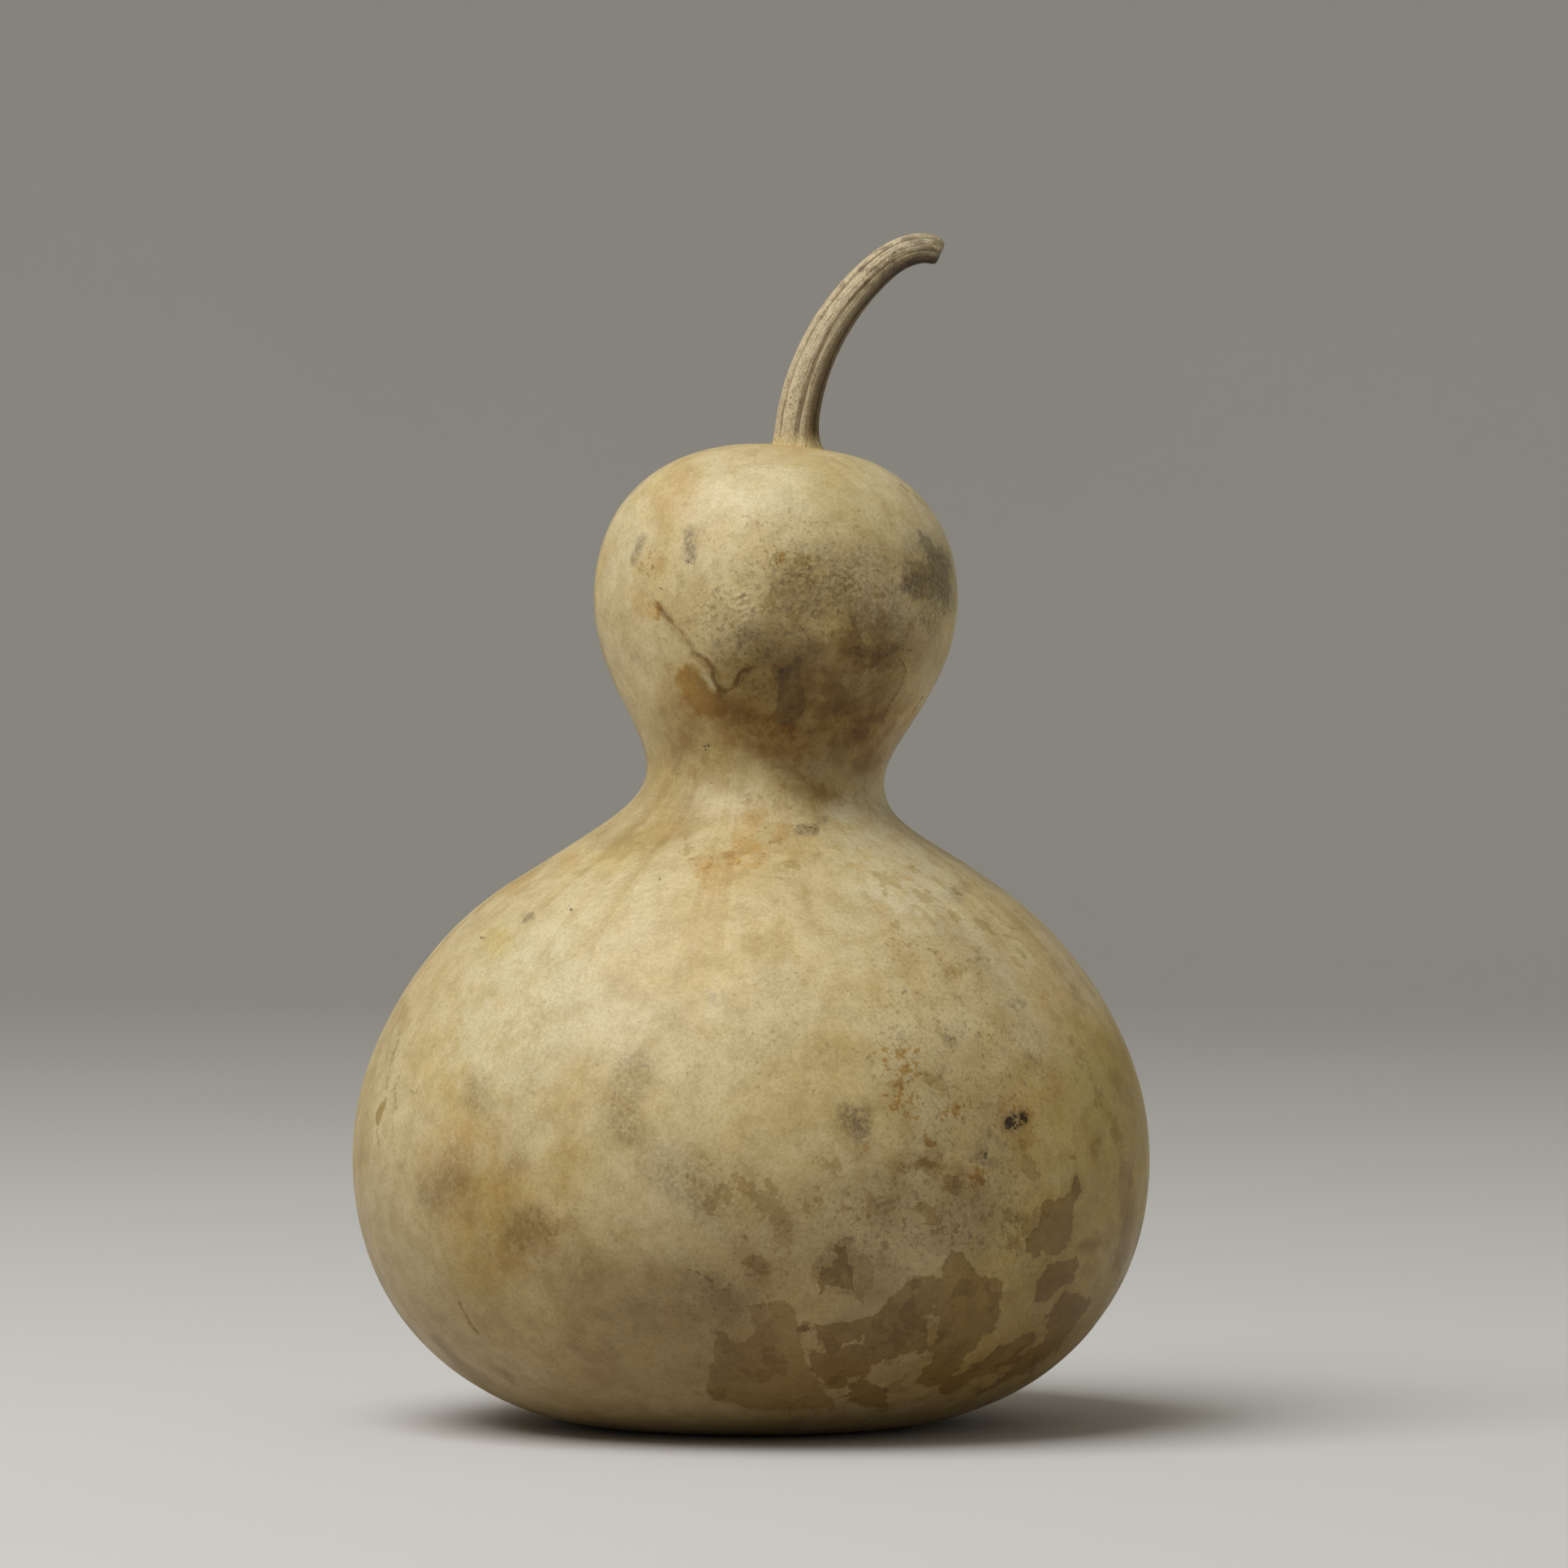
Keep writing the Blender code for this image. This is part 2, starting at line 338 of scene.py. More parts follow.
# Olive tint. The marks on the right flank, under the head and along the ground are painted shade.
OLIVE_TINT_AND_SHADE = [
    (((615, 1161),), 28, 1.0), (((595, 1480), (605, 1560)), 60, 0.7),
    (((809, 1026), (743, 1063)), 20, 0.5), (((886, 933),), 30, 0.4),
    (((700, 1440), (650, 1500)), 60, 0.35), (((560, 640),), 20, 0.2),
    (((1020, 590), (1100, 640)), 60, 0.25), (((1230, 1560), (1300, 1400)), 70, 0.35),
    (((1280, 1420), (1290, 1360)), 40, 0.4),
    (((1400, 1330), (1410, 1420), (1385, 1500), (1330, 1560)), 130, 1.0),
    (((1290, 1570), (1200, 1660)), 110, 0.9), (((1100, 860), (1060, 900)), 60, 0.6),
    (((1065, 805), (1090, 812)), 44, 0.9),
    (((560, 1570), (850, 1650), (1150, 1640), (1330, 1560)), 120, 0.18),
    (((1150, 700), (1155, 750)), 40, 0.5), (((940, 850), (1000, 870)), 70, 0.6),
]
# Painted shade: under the head, at the waist, on the right flank and near the ground.
UMBER_SHADE_MARKS = [
    (((935, 850), (990, 862), (1022, 868)), 105, 1.0), (((1090, 840), (1120, 815)), 70, 0.5),
    (((1012, 952), (1038, 964)), 54, 0.75), (((830, 892),), 46, 0.45),
    (((1080, 790), (1120, 800)), 50, 0.3), (((850, 862), (866, 890)), 50, 0.2),
    (((760, 1640), (870, 1640)), 110, 0.5),
    (((1400, 1330), (1412, 1420), (1385, 1500), (1330, 1570)), 110, 0.35),
    (((760, 1010), (830, 1005)), 60, 0.45), (((800, 1600), (900, 1580)), 80, 0.2),
    (((760, 880), (790, 940)), 40, 0.25), (((1060, 1650), (1130, 1645)), 70, 0.2),
    (((1120, 1485), (1190, 1505)), 72, 0.55), (((1040, 1560), (1080, 1570)), 50, 0.5),
    (((1150, 1340), (1200, 1420)), 100, 0.4), (((770, 1300), (765, 1400)), 60, 0.1),
]
# Brown tint and crack halos. The broad marks under the head, at the waist and near the ground are painted
# shade.
BROWN_TINT_AND_SHADE = [
    (((1015, 850), (1020, 895)), 40, 0.65), (((860, 925), (930, 905), (1010, 910), (1080, 920)), 52, 0.4),
    (((960, 930), (1010, 990)), 40, 0.45), (((940, 860), (1010, 830), (1060, 850)), 70, 0.6),
    (((1060, 780), (1100, 800)), 50, 0.3), (((945, 890), (980, 900), (1030, 885), (1070, 905)), 56, 0.7),
    (((1080, 860), (1070, 920)), 60, 0.3), (((990, 765), (1060, 780)), 80, 0.45),
    (((811, 744), (828, 768), (852, 796)), 8, 0.5), (((855, 804), (878, 823), (888, 851)), 8, 0.6),
    (((888, 852), (907, 844), (917, 827), (928, 823)), 8, 0.7),
    (((1048, 800), (1070, 812), (1093, 806)), 18, 0.7),
    (((1098, 1434), (1143, 1430), (1152, 1414)), 18, 0.5), (((1170, 1455),), 22, 0.3),
    (((755, 1205), (835, 1260)), 20, 0.2), (((792, 1398),), 26, 0.25), (((560, 1470),), 46, 0.4),
    (((1036, 1393), (1063, 1416)), 20, 0.5), (((650, 1530), (700, 1560)), 60, 0.4),
    (((760, 1580), (900, 1560), (1050, 1480)), 90, 0.25),
    (((534, 1646), (568, 1684), (600, 1705)), 9, 0.6), (((613, 1689), (631, 1700)), 8, 0.5),
    (((1333, 1537), (1372, 1537)), 8, 0.7), (((1387, 1440), (1389, 1507), (1376, 1562)), 12, 0.6),
    (((1372, 1322), (1392, 1357)), 9, 0.4), (((1324, 1213), (1330, 1240)), 8, 0.5),
    (((490, 1240), (455, 1330), (440, 1430)), 18, 0.25), (((925, 1550), (935, 1565)), 22, 0.45),
    (((870, 1640), (1060, 1660), (1260, 1620)), 90, 0.2),
    (((1130, 1130), (1190, 1200), (1240, 1300)), 50, 0.15), (((1324, 1446), (1329, 1467)), 7, 0.6),
]
GREY_BLOOM = [
    (((792, 661), (780, 691)), 7, 0.72), (((850, 656), (850, 688)), 11, 0.85),
    (((840, 711), (836, 742)), 4, 0.29), (((783, 1316), (771, 1345), (766, 1380)), 34, 0.5),
    (((775, 1402), (792, 1396), (814, 1405)), 28, 0.12),
    (((815, 1437), (846, 1461), (870, 1475)), 40, 0.32), (((533, 1467), (560, 1440)), 38, 0.36),
    (((586, 1336), (592, 1363)), 24, 0.36), (((636, 1429),), 26, 0.25), (((1171, 1282),), 9, 0.95),
    (((1181, 1273),), 11, 0.36), (((1025, 1307),), 16, 0.29), (((986, 1022), (1003, 1022)), 10, 0.9),
    (((1016, 1010),), 8, 0.58), (((1007, 1053),), 9, 0.43), (((912, 1248),), 9, 0.36),
    (((1212, 1415), (1207, 1427), (1219, 1434)), 9, 0.61), (((1229, 1410),), 9, 0.43),
    (((1180, 1105),), 12, 0.43), (((1168, 1101), (1190, 1092)), 9, 0.36), (((1204, 1171),), 9, 0.43),
    (((1268, 1301),), 10, 0.36), (((884, 795),), 8, 0.5), (((782, 809),), 8, 0.29),
    (((833, 925), (833, 950)), 9, 0.36), (((915, 1432),), 18, 0.29),
    (((1141, 761), (1151, 775)), 14, 0.58), (((652, 1515),), 44, 0.4), (((493, 1436),), 9, 0.36),
    (((475, 1451),), 6, 0.36), (((990, 718), (1066, 712), (1080, 760)), 62, 0.6),
    (((1157, 690), (1163, 745)), 24, 0.72), (((1128, 718),), 20, 0.58),
    (((875, 1590), (900, 1610)), 30, 0.36), (((930, 790), (985, 800)), 40, 0.36),
    (((1050, 1376), (1062, 1390)), 22, 1.0), (((1068, 1366),), 14, 0.72), (((1047, 1358),), 6, 0.58),
    (((1087, 1417),), 9, 0.58), (((1170, 1150), (1230, 1200)), 30, 0.22),
    (((690, 1300), (640, 1330)), 30, 0.14), (((850, 1450), (930, 1500)), 60, 0.25),
    (((1255, 1232), (1262, 1240), (1256, 1247), (1249, 1240), (1254, 1232)), 4, 0.65),
    (((880, 1222), (887, 1229), (880, 1237), (873, 1229), (880, 1222)), 4, 0.43),
    (((1245, 1383), (1260, 1377)), 15, 0.8), (((1135, 680), (1150, 740)), 36, 0.5),
    (((1120, 700), (1122, 722)), 14, 0.6),
]
PEPPER = [
    (((960, 690), (1040, 710), (1090, 760)), 100, 0.6), (((900, 765), (980, 755)), 75, 1.0),
    (((911, 800), (950, 830)), 50, 1.0), (((1150, 1250), (1230, 1330), (1180, 1440)), 130, 0.7),
    (((1100, 820), (1060, 830)), 50, 0.5), (((1243, 1493), (1253, 1532), (1272, 1555)), 26, 1.0),
    (((1190, 1490), (1090, 1510)), 95, 0.8), (((1040, 1520), (900, 1590)), 90, 0.6),
    (((680, 1540), (640, 1500)), 60, 0.5), (((1107, 1167), (1145, 1175)), 34, 0.5),
    (((1280, 1170), (1230, 1130)), 40, 0.4), (((900, 620), (1010, 620)), 90, 0.15),
    (((960, 1250), (1060, 1400)), 120, 0.3), (((960, 690), (1020, 720), (1050, 700)), 40, 0.9),
]
RUST_FRECKLES = [
    (((1118, 1318),), 27, 1.0), (((1095, 1300), (1122, 1300)), 24, 0.6),
    (((1110, 1352), (1118, 1365)), 34, 0.8), (((1166, 1379), (1184, 1362)), 20, 0.85),
    (((1148, 1404),), 24, 0.8), (((1091, 1298),), 27, 0.5), (((964, 687),), 15, 0.9),
    (((1132, 1282),), 20, 0.35), (((1205, 1450),), 24, 1.0), (((990, 1385),), 14, 0.5),
    (((938, 1321),), 15, 0.4), (((804, 697),), 34, 0.5),
    (((872, 1073), (925, 1053), (961, 1025)), 37, 0.42), (((1251, 1372),), 51, 0.4),
    (((806, 750),), 24, 0.7), (((1063, 1416),), 20, 0.6),
]
DAPPLE = [
    (((1040, 1460), (1180, 1490)), 80, 0.55), (((900, 1480), (1000, 1540)), 90, 0.6),
    (((1280, 1450), (1260, 1540)), 50, 0.5), (((1040, 1600), (1230, 1640)), 110, 0.6),
    (((900, 1690), (1100, 1710)), 70, 0.5), (((1130, 1340), (1210, 1400)), 90, 0.45),
    (((960, 860), (1040, 870)), 60, 0.6), (((930, 960), (1000, 990)), 50, 0.6),
    (((880, 1050), (960, 1060)), 60, 0.5), (((1120, 1100), (1220, 1180)), 80, 0.5),
    (((780, 1440), (700, 1540)), 110, 0.3), (((800, 720), (830, 800)), 60, 0.3),
    (((1340, 1300), (1370, 1450)), 50, 0.5), (((760, 1100), (850, 1080)), 70, 0.35),
    (((980, 720), (1080, 780)), 90, 0.5), (((690, 1250), (850, 1280)), 110, 0.25),
    (((1000, 1240), (1060, 1300)), 90, 0.25),
]
# Small pale rubs, and painted light on the lit belly, the right of the neck and the head.
PALE_WEAR_AND_LIGHT = [
    (((859, 820), (870, 833), (879, 850)), 6, 0.4), (((928, 977),), 12, 0.35), (((751, 1541),), 5, 0.6),
    (((1256, 1239),), 5, 0.6), (((1213, 1148),), 5, 0.7), (((660, 1215), (620, 1260)), 120, 0.6),
    (((720, 1130), (860, 1110)), 60, 0.15), (((1065, 1015), (1080, 1060), (1130, 1100)), 72, 0.75),
    (((1120, 640), (1090, 600)), 60, 0.5), (((900, 585), (980, 600)), 50, 0.45), (((1000, 655),), 50, 0.4),
    (((784, 640), (776, 700)), 40, 0.6), (((1180, 1150), (1230, 1200)), 60, 0.3), (((880, 1229),), 5, 0.6),
]

print("soft marks on the front:", sum(map(len, (
    OCHRE_TINT, OLIVE_TINT_AND_SHADE, UMBER_SHADE_MARKS, BROWN_TINT_AND_SHADE, GREY_BLOOM, PEPPER, RUST_FRECKLES, DAPPLE, PALE_WEAR_AND_LIGHT))))

# %% [markdown]
# ## Marks with a border
# Water that dried on the rind left stains with a crisp edge. An outline of pixels is enough for
# each, because the shader tears the edge later. Cracks, dots and wrinkles are simpler still: a line
# and half its width.

# %% List the sharp marks
WATER_STAINS = [
    ((983, 1636), (1004, 1633), (1042, 1629), (1065, 1625), (1088, 1619), (1096, 1598), (1111, 1585),
     (1134, 1574), (1153, 1572), (1161, 1577), (1163, 1556), (1166, 1547), (1178, 1540), (1193, 1541),
     (1197, 1545), (1199, 1566), (1207, 1572), (1226, 1572), (1237, 1577), (1238, 1591), (1231, 1602),
     (1233, 1618), (1226, 1633), (1214, 1648), (1199, 1663), (1189, 1675), (1180, 1690), (1174, 1698),
     (1157, 1707), (1130, 1704), (1095, 1736), (1065, 1734), (1046, 1726), (1020, 1712), (1002, 1690),
     (990, 1660)),
    ((1210, 1677), (1229, 1660), (1256, 1650), (1275, 1640), (1281, 1644), (1272, 1656), (1252, 1675),
     (1235, 1686), (1207, 1698), (1197, 1704), (1170, 1719), (1159, 1717), (1157, 1707), (1180, 1697)),
    ((1285, 1476), (1279, 1507), (1264, 1522), (1264, 1545), (1275, 1552), (1283, 1541), (1293, 1549),
     (1314, 1541), (1321, 1522), (1323, 1495), (1325, 1480), (1331, 1468), (1329, 1449), (1323, 1453),
     (1317, 1476), (1298, 1480)),
    ((1289, 1562), (1298, 1556), (1329, 1549), (1329, 1568), (1314, 1583), (1295, 1598), (1279, 1610),
     (1273, 1608), (1277, 1583), (1285, 1572)),
    ((1283, 1625), (1295, 1621), (1302, 1598), (1314, 1583), (1317, 1593), (1333, 1598), (1348, 1591),
     (1344, 1598), (1333, 1621), (1317, 1648), (1302, 1663), (1285, 1679), (1268, 1694), (1249, 1698),
     (1226, 1709), (1203, 1721), (1187, 1728), (1200, 1717), (1222, 1705), (1245, 1690), (1262, 1675),
     (1275, 1660), (1285, 1652), (1289, 1640)),
    ((1011, 1564), (1027, 1560), (1030, 1533), (1036, 1531), (1042, 1545), (1048, 1552), (1049, 1572),
     (1057, 1581), (1050, 1589), (1023, 1585), (1017, 1587), (1011, 1598), (1006, 1595), (1008, 1575)),
    ((470, 1357), (476, 1348), (474, 1362), (470, 1376), (466, 1386), (464, 1374), (459, 1370)),
]
STAIN_GAPS = [
    ((981, 1644), (1000, 1641), (1011, 1648), (1027, 1660), (1042, 1656), (1065, 1646), (1065, 1656),
     (1027, 1665), (1011, 1669), (1004, 1660), (988, 1658)),
    ((1073, 1683), (1103, 1673), (1141, 1663), (1145, 1656), (1142, 1644), (1141, 1625), (1145, 1618),
     (1155, 1621), (1156, 1656), (1145, 1679), (1130, 1698), (1126, 1705), (1122, 1713), (1103, 1736),
     (1094, 1732), (1092, 1711), (1084, 1709), (1074, 1707), (1071, 1698)),
    ((1126, 1619), (1138, 1614), (1149, 1604), (1153, 1608), (1147, 1618), (1132, 1621)),
    ((1000, 1721), (1011, 1713), (1034, 1711), (1050, 1698), (1065, 1692), (1050, 1715), (1034, 1723),
     (1011, 1725)),
    ((965, 1711), (971, 1698), (977, 1696), (983, 1709), (973, 1712)),
    ((893, 1696), (898, 1690), (914, 1686), (912, 1692), (897, 1697)),
]
FAINT_STAINS = [
    ((885, 1640), (908, 1656), (923, 1652), (931, 1640), (923, 1612), (931, 1604), (946, 1600), (977, 1604),
     (983, 1618), (983, 1636), (988, 1660), (1000, 1690), (1018, 1714), (1030, 1738), (940, 1738),
     (868, 1722), (871, 1700), (880, 1660)),
    ((1084, 1541), (1092, 1533), (1103, 1539), (1101, 1545), (1088, 1545)),
    ((1029, 1480), (1046, 1484), (1048, 1495), (1038, 1505), (1029, 1499)),
    ((1159, 1453), (1187, 1443), (1191, 1461), (1180, 1472), (1164, 1464)),
    ((1235, 1487), (1249, 1493), (1252, 1505), (1241, 1507), (1233, 1499)),
    ((1118, 1484), (1138, 1480), (1157, 1487), (1157, 1510), (1184, 1510), (1184, 1518), (1164, 1520),
     (1145, 1518), (1141, 1499), (1122, 1491)),
    ((931, 1449), (950, 1453), (965, 1472), (946, 1472), (939, 1464)),
    ((1118, 1430), (1157, 1430), (1160, 1442), (1140, 1446), (1120, 1440)),
    ((912, 1541), (945, 1545), (950, 1560), (940, 1575), (925, 1572), (920, 1558)),
    ((981, 1637), (988, 1633), (1004, 1633), (1011, 1639), (988, 1641)),
    ((1048, 800), (1060, 796), (1093, 803), (1086, 812), (1075, 823), (1060, 815)),
    ((890, 766), (897, 762), (901, 768), (906, 773), (902, 777), (894, 770)),
]
AMBER_STAINS = [
    ((833, 823), (848, 817), (859, 823), (869, 840), (878, 852), (890, 856), (904, 864), (897, 888),
     (876, 885), (855, 875), (842, 861), (833, 844)),
]
MOULD_SHADES = [
    ((1134, 658), (1155, 672), (1169, 692), (1170, 727), (1165, 750), (1155, 738), (1144, 735),
     (1134, 742), (1117, 730), (1113, 715), (1126, 697), (1140, 692)),
    ((1112, 789), (1114, 793), (1102, 804), (1098, 801)),
    ((651, 1124), (660, 1128), (654, 1134), (644, 1131)),
]
GREY_PATCHES = [
    ((960, 823), (976, 818), (981, 811), (985, 810), (987, 820), (986, 840), (991, 851), (995, 871),
     (990, 885), (966, 895), (957, 892), (958, 847)),
]
CRACKS = [
    (((811, 744), (818, 757), (828, 768)), 2.4), (((828, 768), (840, 779), (852, 796)), 0.5),
    (((855, 804), (868, 812), (878, 823), (879, 837), (888, 851)), 2.2),
    (((888, 852), (900, 850), (907, 844), (910, 832), (917, 827), (928, 823)), 2.0),
    (((485, 1298), (480, 1313)), 1.3), (((480, 1313), (475, 1343)), 0.8),
    (((492, 1272), (485, 1298)), 0.6), (((464, 1390), (463, 1396), (467, 1413)), 0.7),
    (((491, 1325), (486, 1341), (487, 1366)), 0.6), (((505, 1344), (509, 1348), (515, 1343)), 0.8),
    (((565, 1605), (572, 1618), (581, 1634), (590, 1645)), 0.8),
    (((859, 1568), (868, 1573), (877, 1577), (880, 1588)), 1.1), (((889, 1589), (901, 1590)), 1.0),
    (((843, 1560), (848, 1565)), 0.9),
    (((1108, 811), (1117, 823), (1114, 837), (1105, 856), (1091, 878)), 0.8),
    (((1127, 610), (1141, 623)), 0.8), (((1110, 597), (1120, 606)), 0.6), (((985, 703), (999, 701)), 0.7),
    (((849, 1318), (845, 1327)), 0.9), (((1138, 858), (1124, 878)), 0.6),
]
DOTS = [
    (((851, 694),), 2.2), (((814, 727),), 1.6), (((870, 921),), 2.2), (((784, 1195),), 0.8),
    (((813, 1082),), 0.8), (((897, 1176),), 0.8), (((703, 1120),), 0.8), (((945, 1208),), 0.7),
    (((1059, 1190),), 0.9), (((1007, 1180),), 0.8), (((594, 1155),), 1.0),
    (((1245, 1380), (1246, 1386)), 5.6), (((1259, 1380), (1261, 1374)), 4.2),
    (((1214, 1423), (1215, 1425)), 1.0), (((1087, 1417),), 1.4), (((992, 1247),), 0.7),
    (((965, 1252),), 0.6), (((1067, 1281),), 0.8), (((745, 1541),), 1.0), (((778, 1682),), 0.9),
    (((1060, 1530),), 2.6), (((532, 1577),), 0.8), (((943, 843),), 1.5),
]
TAN_SPOTS = [(((1321, 1426),), 5.0), (((1317, 1411),), 3.8)]
WRINKLES = [
    (((906, 736), (917, 731)), 1.6), (((910, 743), (921, 738)), 1.6), (((915, 750), (925, 747)), 1.5),
    (((913, 757), (921, 754), (927, 757), (925, 764), (916, 765)), 1.4), (((924, 752), (929, 747)), 1.2),
]

print("stains:", len(WATER_STAINS + FAINT_STAINS + AMBER_STAINS), "cracks:", len(CRACKS), "dots:", len(DOTS))

# %% [markdown]
# ## Marks for the sides and the back
# Nobody saw these, but a gourd that dried on the ground is marked all round. A seeded draw makes a
# like set for each quarter turn: fewer stains, the same tints and blooms, and the same painted shade
# under the head and at the waist.

# %% Draw the unseen marks
TURNED_VIEWS = (90.0, 180.0, 270.0)
CENTRE_COLUMN = 925.0
HEAD_ENDS, WAIST_ENDS = 870.0, 1010.0
HEAD_REACH, WAIST_REACH, BELLY_REACH = 190.0, 110.0, 400.0
BLOT_CORNERS = 12


def random_place(draw, low=600.0, high=1700.0):
    """A pixel somewhere on the turned gourd: a height, then a place across the lobe at that height."""
    down = draw.uniform(low, high)
    reach = HEAD_REACH if down < HEAD_ENDS else (WAIST_REACH if down < WAIST_ENDS else BELLY_REACH)
    return CENTRE_COLUMN + draw.uniform(-reach, reach), down


def random_line(draw, length, low=600.0, high=1700.0):
    """Three pixels in a line that runs mostly up and down, as the fruit grew."""
    x, y = random_place(draw, low, high)
    slant = draw.uniform(-0.5, 0.5) * length
    return ((x, y), (x + slant * 0.6, y + length * 0.5), (x + slant, y + length))


def random_blot(draw, size):
    """The outline of a ragged stain about this many pixels across."""
    x, y = random_place(draw, draw.choice((1150.0, 1400.0, 1560.0)), 1700.0)
    reach = [size * draw.uniform(0.3, 1.0) for _ in range(BLOT_CORNERS)]
    turn = [2.0 * pi * k / BLOT_CORNERS for k in range(BLOT_CORNERS)]
    return tuple((x + 0.7 * r * cos(a), y + r * sin(a)) for r, a in zip(reach, turn))


def unseen_marks(seed):
    """One quarter turn's marks, in the same lists as the front's."""
    draw = random.Random(seed)

    def soft(count, size, power):
        """Soft marks of about this size in pixels and this strength."""
        return [(random_line(draw, draw.uniform(0.2, 1.6) * size), size * draw.uniform(0.5, 1.3),
                 power * draw.uniform(0.4, 1.0)) for _ in range(count)]

    def blots(count, most):
        """Ragged stains, most of them small and a few large."""
        return [random_blot(draw, 8.0 + most * draw.random() ** 2) for _ in range(count)]

    return {
        "ochre_tint": soft(9, 26.0, 0.6), "olive_tint": soft(4, 34.0, 0.5),
        # The fixed band at the waist is painted shade.
        "brown_tint": soft(8, 44.0, 0.5) + [(((830, 930), (1010, 920)), 60.0, 0.6)],
        "grey_bloom": soft(13, 18.0, 0.8), "pepper": soft(6, 60.0, 0.8),
        "rust_freckles": soft(6, 15.0, 0.8), "pale_wear": soft(5, 30.0, 0.4),
        "dapple": soft(7, 80.0, 0.7) + [(((840, 1640), (1010, 1660)), 120.0, 0.6)],
        # The fixed line under the head is painted shade.
        "umber_tint": soft(3, 80.0, 0.4) + [(((860, 860), (990, 860)), 100.0, 0.7)],
        "water_stain": blots(6, 62.0), "faint_stain": blots(7, 70.0), "mould_shade": blots(4, 10.0),
        "crack": [(random_line(draw, draw.uniform(14.0, 46.0)), draw.uniform(0.6, 1.3)) for _ in range(6)],
        "dots": [((random_place(draw),), draw.uniform(0.7, 2.0)) for _ in range(14)],
    }


FRONT_MARKS = {
    "ochre_tint": OCHRE_TINT, "olive_tint": OLIVE_TINT_AND_SHADE, "brown_tint": BROWN_TINT_AND_SHADE,
    "umber_tint": UMBER_SHADE_MARKS, "grey_bloom": GREY_BLOOM, "pepper": PEPPER, "rust_freckles": RUST_FRECKLES,
    "dapple": DAPPLE, "pale_wear": PALE_WEAR_AND_LIGHT, "water_stain": WATER_STAINS, "stain_gap": STAIN_GAPS,
    "faint_stain": FAINT_STAINS, "amber_stain": AMBER_STAINS, "mould_shade": MOULD_SHADES,
    "grey_patch": GREY_PATCHES, "crack": CRACKS, "dots": DOTS, "tan_spot": TAN_SPOTS, "wrinkle": WRINKLES,
}
ALL_MARKS = {0.0: FRONT_MARKS}
for seed, azimuth in enumerate(TURNED_VIEWS, start=11):
    ALL_MARKS[azimuth] = unseen_marks(seed)
print("marks:", {azimuth: sum(map(len, marks.values())) for azimuth, marks in ALL_MARKS.items()})

# %% [markdown]
# ## Finer mesh where fine marks lie
# Cracks, dots and wrinkles are half a millimetre wide, and the skin's faces are a millimetre and
# more. Splitting every face would be wasteful, so only those near such a mark are split, with a
# rounded subdivision that keeps the curve of the skin.

# %% Split the faces near fine marks
FINE_MARKS = ("crack", "dots", "wrinkle")
SMALL_SOFT_MARKS = ("grey_bloom", "rust_freckles", "ochre_tint", "pale_wear")
SMALL_REACH = 17.0
SPLIT_REACH = 9.0
SPLIT_CUTS = 3


def near_fine_marks(mesh):
    """Whether each vertex lies near a crack, dot or wrinkle, or in a small soft mark."""
    near = np.zeros(len(mesh.vertices), bool)
    for azimuth, marks in ALL_MARKS.items():
        ruler = Ruler(mesh, azimuth)
        for family in FINE_MARKS:
            for line, half_width in marks.get(family, ()):
                close = off_line(ruler.pixels, line) < SPLIT_REACH + half_width
                near |= close & (ruler.facing > 0.0)
        for family in SMALL_SOFT_MARKS:
            for line, reach, _ in marks.get(family, ()):
                if reach <= SMALL_REACH:
                    near |= (off_line(ruler.pixels, line) < reach) & (ruler.facing > 0.0)
    return near


def split_near_marks(mesh):
    """Splits every face whose corners all lie near a fine mark."""
    near = near_fine_marks(mesh)
    skin = bmesh.new()
    skin.from_mesh(mesh)
    skin.verts.ensure_lookup_table()
    edges = set()
    for face in skin.faces:
        if all(near[v.index] for v in face.verts):
            edges.update(face.edges)
    bmesh.ops.subdivide_edges(skin, edges=list(edges), cuts=SPLIT_CUTS, use_grid_fill=True,
                              smooth=1.0, smooth_falloff="LINEAR", use_smooth_even=True)
    skin.to_mesh(mesh)
    skin.free()
    mesh.shade_smooth()


split_near_marks(skin_mesh)
skin_mesh.calc_loop_triangles()
print("skin triangles after splitting:", len(skin_mesh.loop_triangles))

# %% [markdown]
# ## Fields on the skin
# Each family of marks becomes one number per vertex. A soft family holds an amount from 0 to 1. A
# sharp family holds the distance to its border in pixels, so that the shader can cut a crisp
# border between vertices and tear it with noise.

# %% Turn the marks into fields
SOFT_FAMILIES = ("ochre_tint", "olive_tint", "brown_tint", "umber_tint", "grey_bloom", "pepper",
                 "rust_freckles", "pale_wear", "dapple")
OUTLINE_FAMILIES = ("water_stain", "stain_gap", "faint_stain", "amber_stain", "mould_shade", "grey_patch")
LINE_FAMILIES = ("crack", "dots", "tan_spot", "wrinkle")
SOFT_EDGE = 1.6
FAR_OUTSIDE = -12.0

rulers = {azimuth: Ruler(skin_mesh, azimuth) for azimuth in ALL_MARKS}
for azimuth in TURNED_VIEWS:
    rulers[azimuth].facing *= 1.0 - rulers[0.0].facing
vertex_count = len(skin_mesh.vertices)


def soft_field(family):
    """The amount of a soft mark at each vertex."""
    field = np.zeros(vertex_count)
    for azimuth, marks in ALL_MARKS.items():
        ruler = rulers[azimuth]
        for line, reach, power in marks.get(family, ()):
            nearness = SOFT_EDGE * (1.0 - off_line(ruler.pixels, line) / reach)
            amount = power * eased(nearness) * ruler.facing
            field = field + amount - field * amount
    return field


